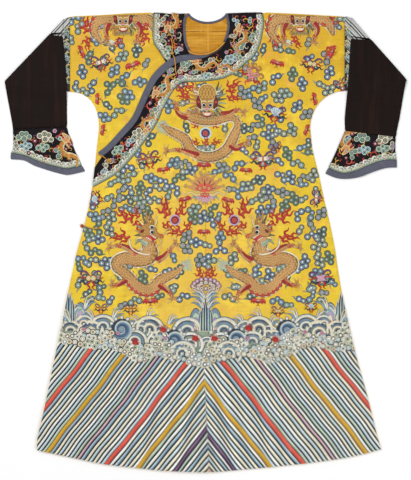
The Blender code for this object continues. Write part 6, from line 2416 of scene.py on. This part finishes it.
def sprinkle(work, cloud_rows, flower_rows):
    for number, (x, y, lobes, turn, size) in enumerate(cloud_rows):
        cloud(Spot(work, x, y, size * 0.92, turn, base=0.3), lobes, DARK_SILKS[number % len(DARK_SILKS)], 9)
    for x, y, size, silks in flower_rows:
        flower(Spot(work, x, y, size * 1.25, base=0.5), FLOWER_SILKS[silks])


def filled(work, outline, apart, seed, margin):
    """Tendrils on a loose grid over the outline, kept off its border."""
    dice = np.random.default_rng(seed)
    outline = np.array(outline, float)
    low, high = outline.min(axis=0), outline.max(axis=0)
    number = 0
    for row, y in enumerate(np.arange(low[1], high[1], apart * 0.72)):
        for x in np.arange(low[0] + (row % 2) * apart / 2, high[0], apart):
            place = np.array([[x, y]]) + dice.normal(0, apart * 0.08, (1, 2))
            number += 1
            if within(place, outline)[0] and nearest(place, outline)[1][0] > margin:
                size, turn = 0.78 + 0.1 * dice.random(), 360 * dice.random()
                spot = Spot(work, *place[0], size, turn, 1 if number % 2 else -1)
                tendril(spot, TENDRILS[number % len(TENDRILS)])


CUFF_CLOUDS = {  # x, y, lobes, turn, size
    "right": ((-567, 330, 5, 0, 1.05), (-499, 328, 5, -20, 1.15), (-561, 300, 4, 0, 1),
              (-508, 296, 4, 0, 1.05), (-461, 278, 3, -70, 1),
              (-592, 307, 2, 80, 0.9), (-449, 322, 2, -30, 0.8)),
    "left": ((487, 325, 5, 0, 1.05), (556, 324, 5, 20, 1.15), (493, 288, 4, 0, 1.05), (553, 292, 4, 0, 1.05),
             (459, 275, 3, 60, 0.95), (581, 303, 2, 70, 0.9), (444, 322, 2, 30, 0.8)),
}
CUFF_FLOWERS = {
    "right": ((-533, 316, 0.8, 2), (-471, 347, 0.7, 0), (-552, 278, 0.6, 2), (-436, 291, 0.6, 2)),
    "left": ((528, 307, 0.8, 2), (456, 338, 0.7, 2), (584, 300, 0.55, 1), (437, 263, 0.6, 2)),
}
CUFF_DRAGON = {"right": (-436, 310, 1.25, -52, 1), "left": (437, 303, 1.25, 232, -1)}


def cuff_work(side):
    """Clouds, blossoms and a dragon over waves, on the cuff as it lies folded."""
    work = Needlework()
    edge = folded_outline(side, cuff_lines(side)[1])
    filled(work, folded_outline(side, cuff_edge(side)), 44, 8, 12)
    surf_border(work, through(edge, 3), 1 if side == "right" else -1, 17, 15)
    x, y, size, turn, flip = CUFF_DRAGON[side]
    small_dragon(Spot(work, x, y, size, turn, flip, 0.2))
    sprinkle(work, CUFF_CLOUDS[side], CUFF_FLOWERS[side])
    return work


def band_work(side):
    """Waves and scrolls on the strip of the band that shows beside the folded sleeve."""
    work = Needlework()
    hand = 1 if side == "left" else -1
    middle = SHOULDER_END[side] + hand * 10
    for number, y in enumerate(np.arange(500, 672, 13)):
        spot = Spot(work, middle + 2 * math.sin(number * 1.7), y, 0.62, 35 * math.sin(number * 2.1), hand)
        if number % 3 == 0:
            cloud(spot, 3, DARK_SILKS[number % 4], 8)
        elif number % 3 == 1:
            spot.ribbon(((-14, -8), (-4, 2), (6, -2), (14, 8)), 6, "brown straw", 0.3, 0.5, 0.5)
            spot.ribbon(((-12, 6), (0, -6), (10, 4)), 4.6, "slate mint", 0.25, 0.5)
        else:
            swell(spot, 12, "mint sky blue")
    return work


# ---- Making the pieces ----
STRIP = 0.34  # a flat cut that fills less of its box than this is a curved strip
NARROWEST = 0.0101  # metres
FLOOR = ((-6, -6, -0.0005), (6, -6, -0.0005), (6, 6, -0.0005), (-6, 6, -0.0005))
LIGHTS = (  # name, place, size, share of the key light's power
    ("key_light", (-1.6, 1.4, 3.4), 2.4, 1), ("fill_light", (2, -1.2, 3.2), 3, 0.55),
)
VIEW = (411, 480)  # pixels of the camera's view
PIXEL = 0.00312  # metres that one of them shows
CENTRE = (-0.0011, 0.0070)  # where the camera looks down on
SENSOR = 24  # its height in millimetres


def declare(outline):
    """Works out the flat cut's extents and area, or for a narrow curved strip its length and mean width; it
    returns and stores nothing.
    """
    points = np.array(outline, float) * MM
    after = np.roll(points, -1, axis=0)
    area = abs(twice_area(points, after).sum()) / 2
    width, length = np.ptp(points, axis=0)
    if area < STRIP * width * length:
        length = lengths(after - points).sum() / 2
        width = max(area / length, NARROWEST)
    area = min(area, width * length)


def report(operator, pieces):
    if not all(piece.data.vertices for piece in pieces):
        raise RuntimeError(f"{operator.bl_idname} made an empty piece")
    return {"FINISHED"}


class ROBE_OT_stage(bpy.types.Operator):
    """Makes the floor, the soft lights and the camera over the robe"""

    bl_idname = "robe.stage"
    bl_label = "Stage"

    def execute(self, context):
        stage = context.scene.robe_stage
        mesh = bpy.data.meshes.new("floor")
        mesh.from_pydata(FLOOR, [], [(0, 1, 2, 3)])
        mesh.materials.append(pale_floor(stage))
        put("floor", mesh)
        for name, place, size, share in LIGHTS:
            light = bpy.data.lights.new(name, "AREA")
            light.shape = "DISK"
            light.size = size
            light.energy = stage.key * share
            lamp = put(name, light)
            lamp.location = place
            lamp.rotation_mode = "QUATERNION"
            lamp.rotation_quaternion = (-Vector(place)).to_track_quat("-Z", "Y")
        world = bpy.data.worlds.new("soft_studio")
        world.use_nodes = True
        background = world.node_tree.nodes["Background"]
        background.inputs["Color"].default_value = (1, 1, 1, 1)
        background.inputs["Strength"].default_value = 0.5
        context.scene.world = world
        lens = bpy.data.cameras.new("overhead")
        lens.sensor_fit = "VERTICAL"
        lens.sensor_height = SENSOR
        lens.sensor_width = SENSOR * VIEW[0] / VIEW[1]
        lens.lens = SENSOR * stage.distance / (VIEW[1] * PIXEL)
        lens.clip_end = 100
        camera = put("overhead", lens)
        camera.location = (*CENTRE, stage.distance)
        context.scene.camera = camera
        context.scene.view_settings.view_transform = "Standard"
        context.view_layer.update()
        return {"FINISHED"}


class ROBE_OT_body(bpy.types.Operator):
    """Makes the left and right body panels, each front and back in one, and the outer front"""

    bl_idname = "robe.body"
    bl_label = "Body and outer front"

    def execute(self, context):
        silk = yellow_silk(context.scene.robe_silk)
        outer, inner = place_body(overlap_height), place_body(front_height)
        right = cloth("body_right", body_right(), inner, silk)
        declare(body_right())
        left = cloth("body_left", body_left(), outer, silk)
        declare(body_left())
        front = cloth("front_overlap", front_overlap(), outer, silk)
        declare(front_overlap())
        return report(self, (left, right, front))


class ROBE_OT_collar(bpy.types.Operator):
    """Makes the collar, its grey binding and the lining that shows in the neck"""

    bl_idname = "robe.collar"
    bl_label = "Collar, binding and lining"

    def execute(self, context):
        silks = context.scene.robe_silk
        satin, edging = collar_silk(silks), binding_satin(silks)
        made = []
        for node, outline, place, silk, grid in (
            ("collar_outer", collar_outer(), place_body(overlap_height), satin, 6),
            ("collar_inner", collar_inner(), place_body(front_height), satin, 6),
            ("neck_trim_outer", neck_trim_outer(), place_body(overlap_height, TRIM_RAISE), edging, 3),
            ("neck_trim_inner", neck_trim_inner(), place_body(front_height, TRIM_RAISE), edging, 3),
        ):
            piece = cloth(node, outline, place, silk, grid=grid)
            declare(outline)
            made.append(piece)
        lining = cloth("back_lining", back_lining(), place_lining, lining_silk(silks), grid=5)
        declare(back_lining())
        return report(self, (*made, lining))


class ROBE_OT_sleeves(bpy.types.Operator):
    """Makes both sleeves, each a tube of band, dark sleeve, cuff and binding, folded down"""

    bl_idname = "robe.sleeves"
    bl_label = "Sleeves and cuffs"

    def execute(self, context):
        silks = context.scene.robe_silk
        brocade, plain = band_brocade(silks), sleeve_silk(silks)
        satin, edging = collar_silk(silks), binding_satin(silks)
        made = []
        for side in ("left", "right"):
            for name, edge, silk, grid in (
                ("sleeve_band", band_edge(side), brocade, 6),
                ("sleeve", sleeve_edge(side), plain, 8),
                ("cuff", cuff_edge(side), satin, 6),
                ("cuff_trim", cuff_trim_edge(side), edging, 3.5),
            ):
                raised = TRIM_RAISE if name == "cuff_trim" else 0
                outline, place = tube(edge), place_sleeve(side, raised)
                piece = cloth(f"{name}_{side}", outline, place, silk, side, grid, "back")
                declare(outline)
                made.append(piece)
        return report(self, made)


class ROBE_OT_hem(bpy.types.Operator):
    """Embroiders the slanting stripes of the hem on both sides"""

    bl_idname = "robe.hem"
    bl_label = "Hem stripes"

    def execute(self, context):
        made = []
        for side in ("left", "right"):
            stripes, outline = hem_stripes(side), hem_side(side)
            made.append(stripes.lay(f"hem_stripes_{side}", on_overlap, outline, "yellow_silk"))
        return report(self, made)


class ROBE_OT_sea(bpy.types.Operator):
    """Embroiders the sea, its foam and the mountains above the hem"""

    bl_idname = "robe.sea"
    bl_label = "Sea and mountains"

    def execute(self, context):
        return report(self, [sea().lay("sea_and_mountains", on_overlap, outer_front(), "yellow_silk")])


class ROBE_OT_clouds(bpy.types.Operator):
    """Embroiders the clouds all over the yellow ground"""

    bl_idname = "robe.clouds"
    bl_label = "Clouds"

    def execute(self, context):
        outer, inner = outer_front(), inner_front()
        front = clouds(CLOUDS + LOW_CLOUDS, outer).lay("clouds_front", on_overlap, outer, "yellow_silk")
        shoulder = clouds(CLOUDS, inner).lay("clouds_shoulder", on_inner, inner, "yellow_silk")
        return report(self, (front, shoulder))


class ROBE_OT_dragons(bpy.types.Operator):
    """Embroiders the dragons and the pearls that they chase"""

    bl_idname = "robe.dragons"
    bl_label = "Dragons"

    def execute(self, context):
        return report(self, [dragons().lay("dragons_front", on_overlap, outer_front(), "yellow_silk")])


class ROBE_OT_emblems(bpy.types.Operator):
    """Embroiders bats, lucky objects, lotuses and flames"""

    bl_idname = "robe.emblems"
    bl_label = "Emblems"

    def execute(self, context):
        front = emblems().lay("emblems_front", on_overlap, outer_front(), "yellow_silk")
        inner = shoulder_emblems().lay("emblems_shoulder", on_inner, inner_front(), "yellow_silk")
        return report(self, (front, inner))


class ROBE_OT_collar_work(bpy.types.Operator):
    """Embroiders the collar"""

    bl_idname = "robe.collar_work"
    bl_label = "Collar embroidery"

    def execute(self, context):
        slot = "dark_collar_silk"
        outer = collar_work().lay("collar_embroidery", on_overlap, collar_front(), slot)
        ring = inner_collar_front()
        inner = inner_collar_work().lay("collar_embroidery_inner", on_inner, ring, slot)
        return report(self, (outer, inner))


class ROBE_OT_sleeve_work(bpy.types.Operator):
    """Embroiders the cuffs and the strips of the sleeve bands that show"""

    bl_idname = "robe.sleeve_work"
    bl_label = "Cuff and band embroidery"

    def execute(self, context):
        made = []
        for side in ("left", "right"):
            cuff, strip = folded_outline(side, cuff_edge(side)), band_edge(side)
            for work, name, surface, outline, slot in (
                (cuff_work(side), "cuff", on_folded_sleeve(side), cuff, "dark_collar_silk"),
                (band_work(side), "band", on_under_sleeve, strip, "striped_band"),
            ):
                made.append(work.lay(f"{name}_embroidery_{side}", surface, outline, slot))
        return report(self, made)


class ROBE_OT_closings(bpy.types.Operator):
    """Makes the cord loops, the two wound knots and the gilt button"""

    bl_idname = "robe.closings"
    bl_label = "Cords, knots and button"

    def execute(self, context):
        silks = context.scene.robe_silk
        silk = cord_silk(silks)
        made = [
            cord("neck_closing_cord", on_cloth(NECK_CORD), silk, "neck_cord"),
            cord("neck_closing_loop", on_cloth(NECK_LOOP), silk, "neck_loop"),
            cord("underarm_closing_cord", on_cloth(UNDERARM_CORD), silk, "underarm_cord"),
            cord("side_closing_cord", on_cloth(SIDE_CORD), silk, "side_cord"),
        ]
        piping = on_cloth(NECK_PIPING) + np.array([0, 0, 1.4])
        made.append(cord("neck_piping", piping, silk, "neck_cord", 2.4, False))
        for node, ((x, y), radius) in (("neck_knot", NECK_KNOT), ("underarm_knot", UNDERARM_KNOT)):
            level = float(on_overlap(np.array([x]), np.array([y]))[0]) + radius
            made.append(cord(f"{node}_cord", wound(x, y, level, radius), silk, node, CORD * 0.95))
        (x, y), radius = SIDE_BUTTON
        made.append(gilt_ball("gilt_side_button", x, y, radius, gilt_button(silks), "side_button"))
        return report(self, made)


class ROBE_PT_panel(bpy.types.Panel):
    """Lists the operators that make the robe"""

    bl_idname = "ROBE_PT_panel"
    bl_label = "Chinese Dragon Robe"
    bl_space_type = "VIEW_3D"
    bl_region_type = "UI"
    bl_category = "Robe"

    def draw(self, context):
        for group in GROUPS:
            settings = getattr(context.scene, group)
            box = self.layout.box()
            for name in settings.bl_rna.properties.keys():
                if name not in {"rna_type", "name"}:
                    box.prop(settings, name)
        for operator in OPERATORS:
            self.layout.operator(operator.bl_idname)


GROUPS = {
    "robe_cloth": RobeCloth,
    "robe_silk": RobeSilk,
    "robe_thread": RobeThread,
    "robe_stage": RobeStage,
}
OPERATORS = (
    ROBE_OT_stage,
    ROBE_OT_body,
    ROBE_OT_collar,
    ROBE_OT_sleeves,
    ROBE_OT_hem,
    ROBE_OT_sea,
    ROBE_OT_clouds,
    ROBE_OT_dragons,
    ROBE_OT_emblems,
    ROBE_OT_collar_work,
    ROBE_OT_sleeve_work,
    ROBE_OT_closings,
)
CLASSES = (*GROUPS.values(), *OPERATORS, ROBE_PT_panel)


def register():
    for kind in CLASSES:
        bpy.utils.register_class(kind)
    for name, kind in GROUPS.items():
        setattr(bpy.types.Scene, name, PointerProperty(type=kind))


def unregister():
    for name in GROUPS:
        delattr(bpy.types.Scene, name)
    for kind in reversed(CLASSES):
        bpy.utils.unregister_class(kind)


def main():
    register()
    for operator in OPERATORS:
        group, name = operator.bl_idname.split(".")
        getattr(getattr(bpy.ops, group), name)()


if __name__ == "__main__":
    main()
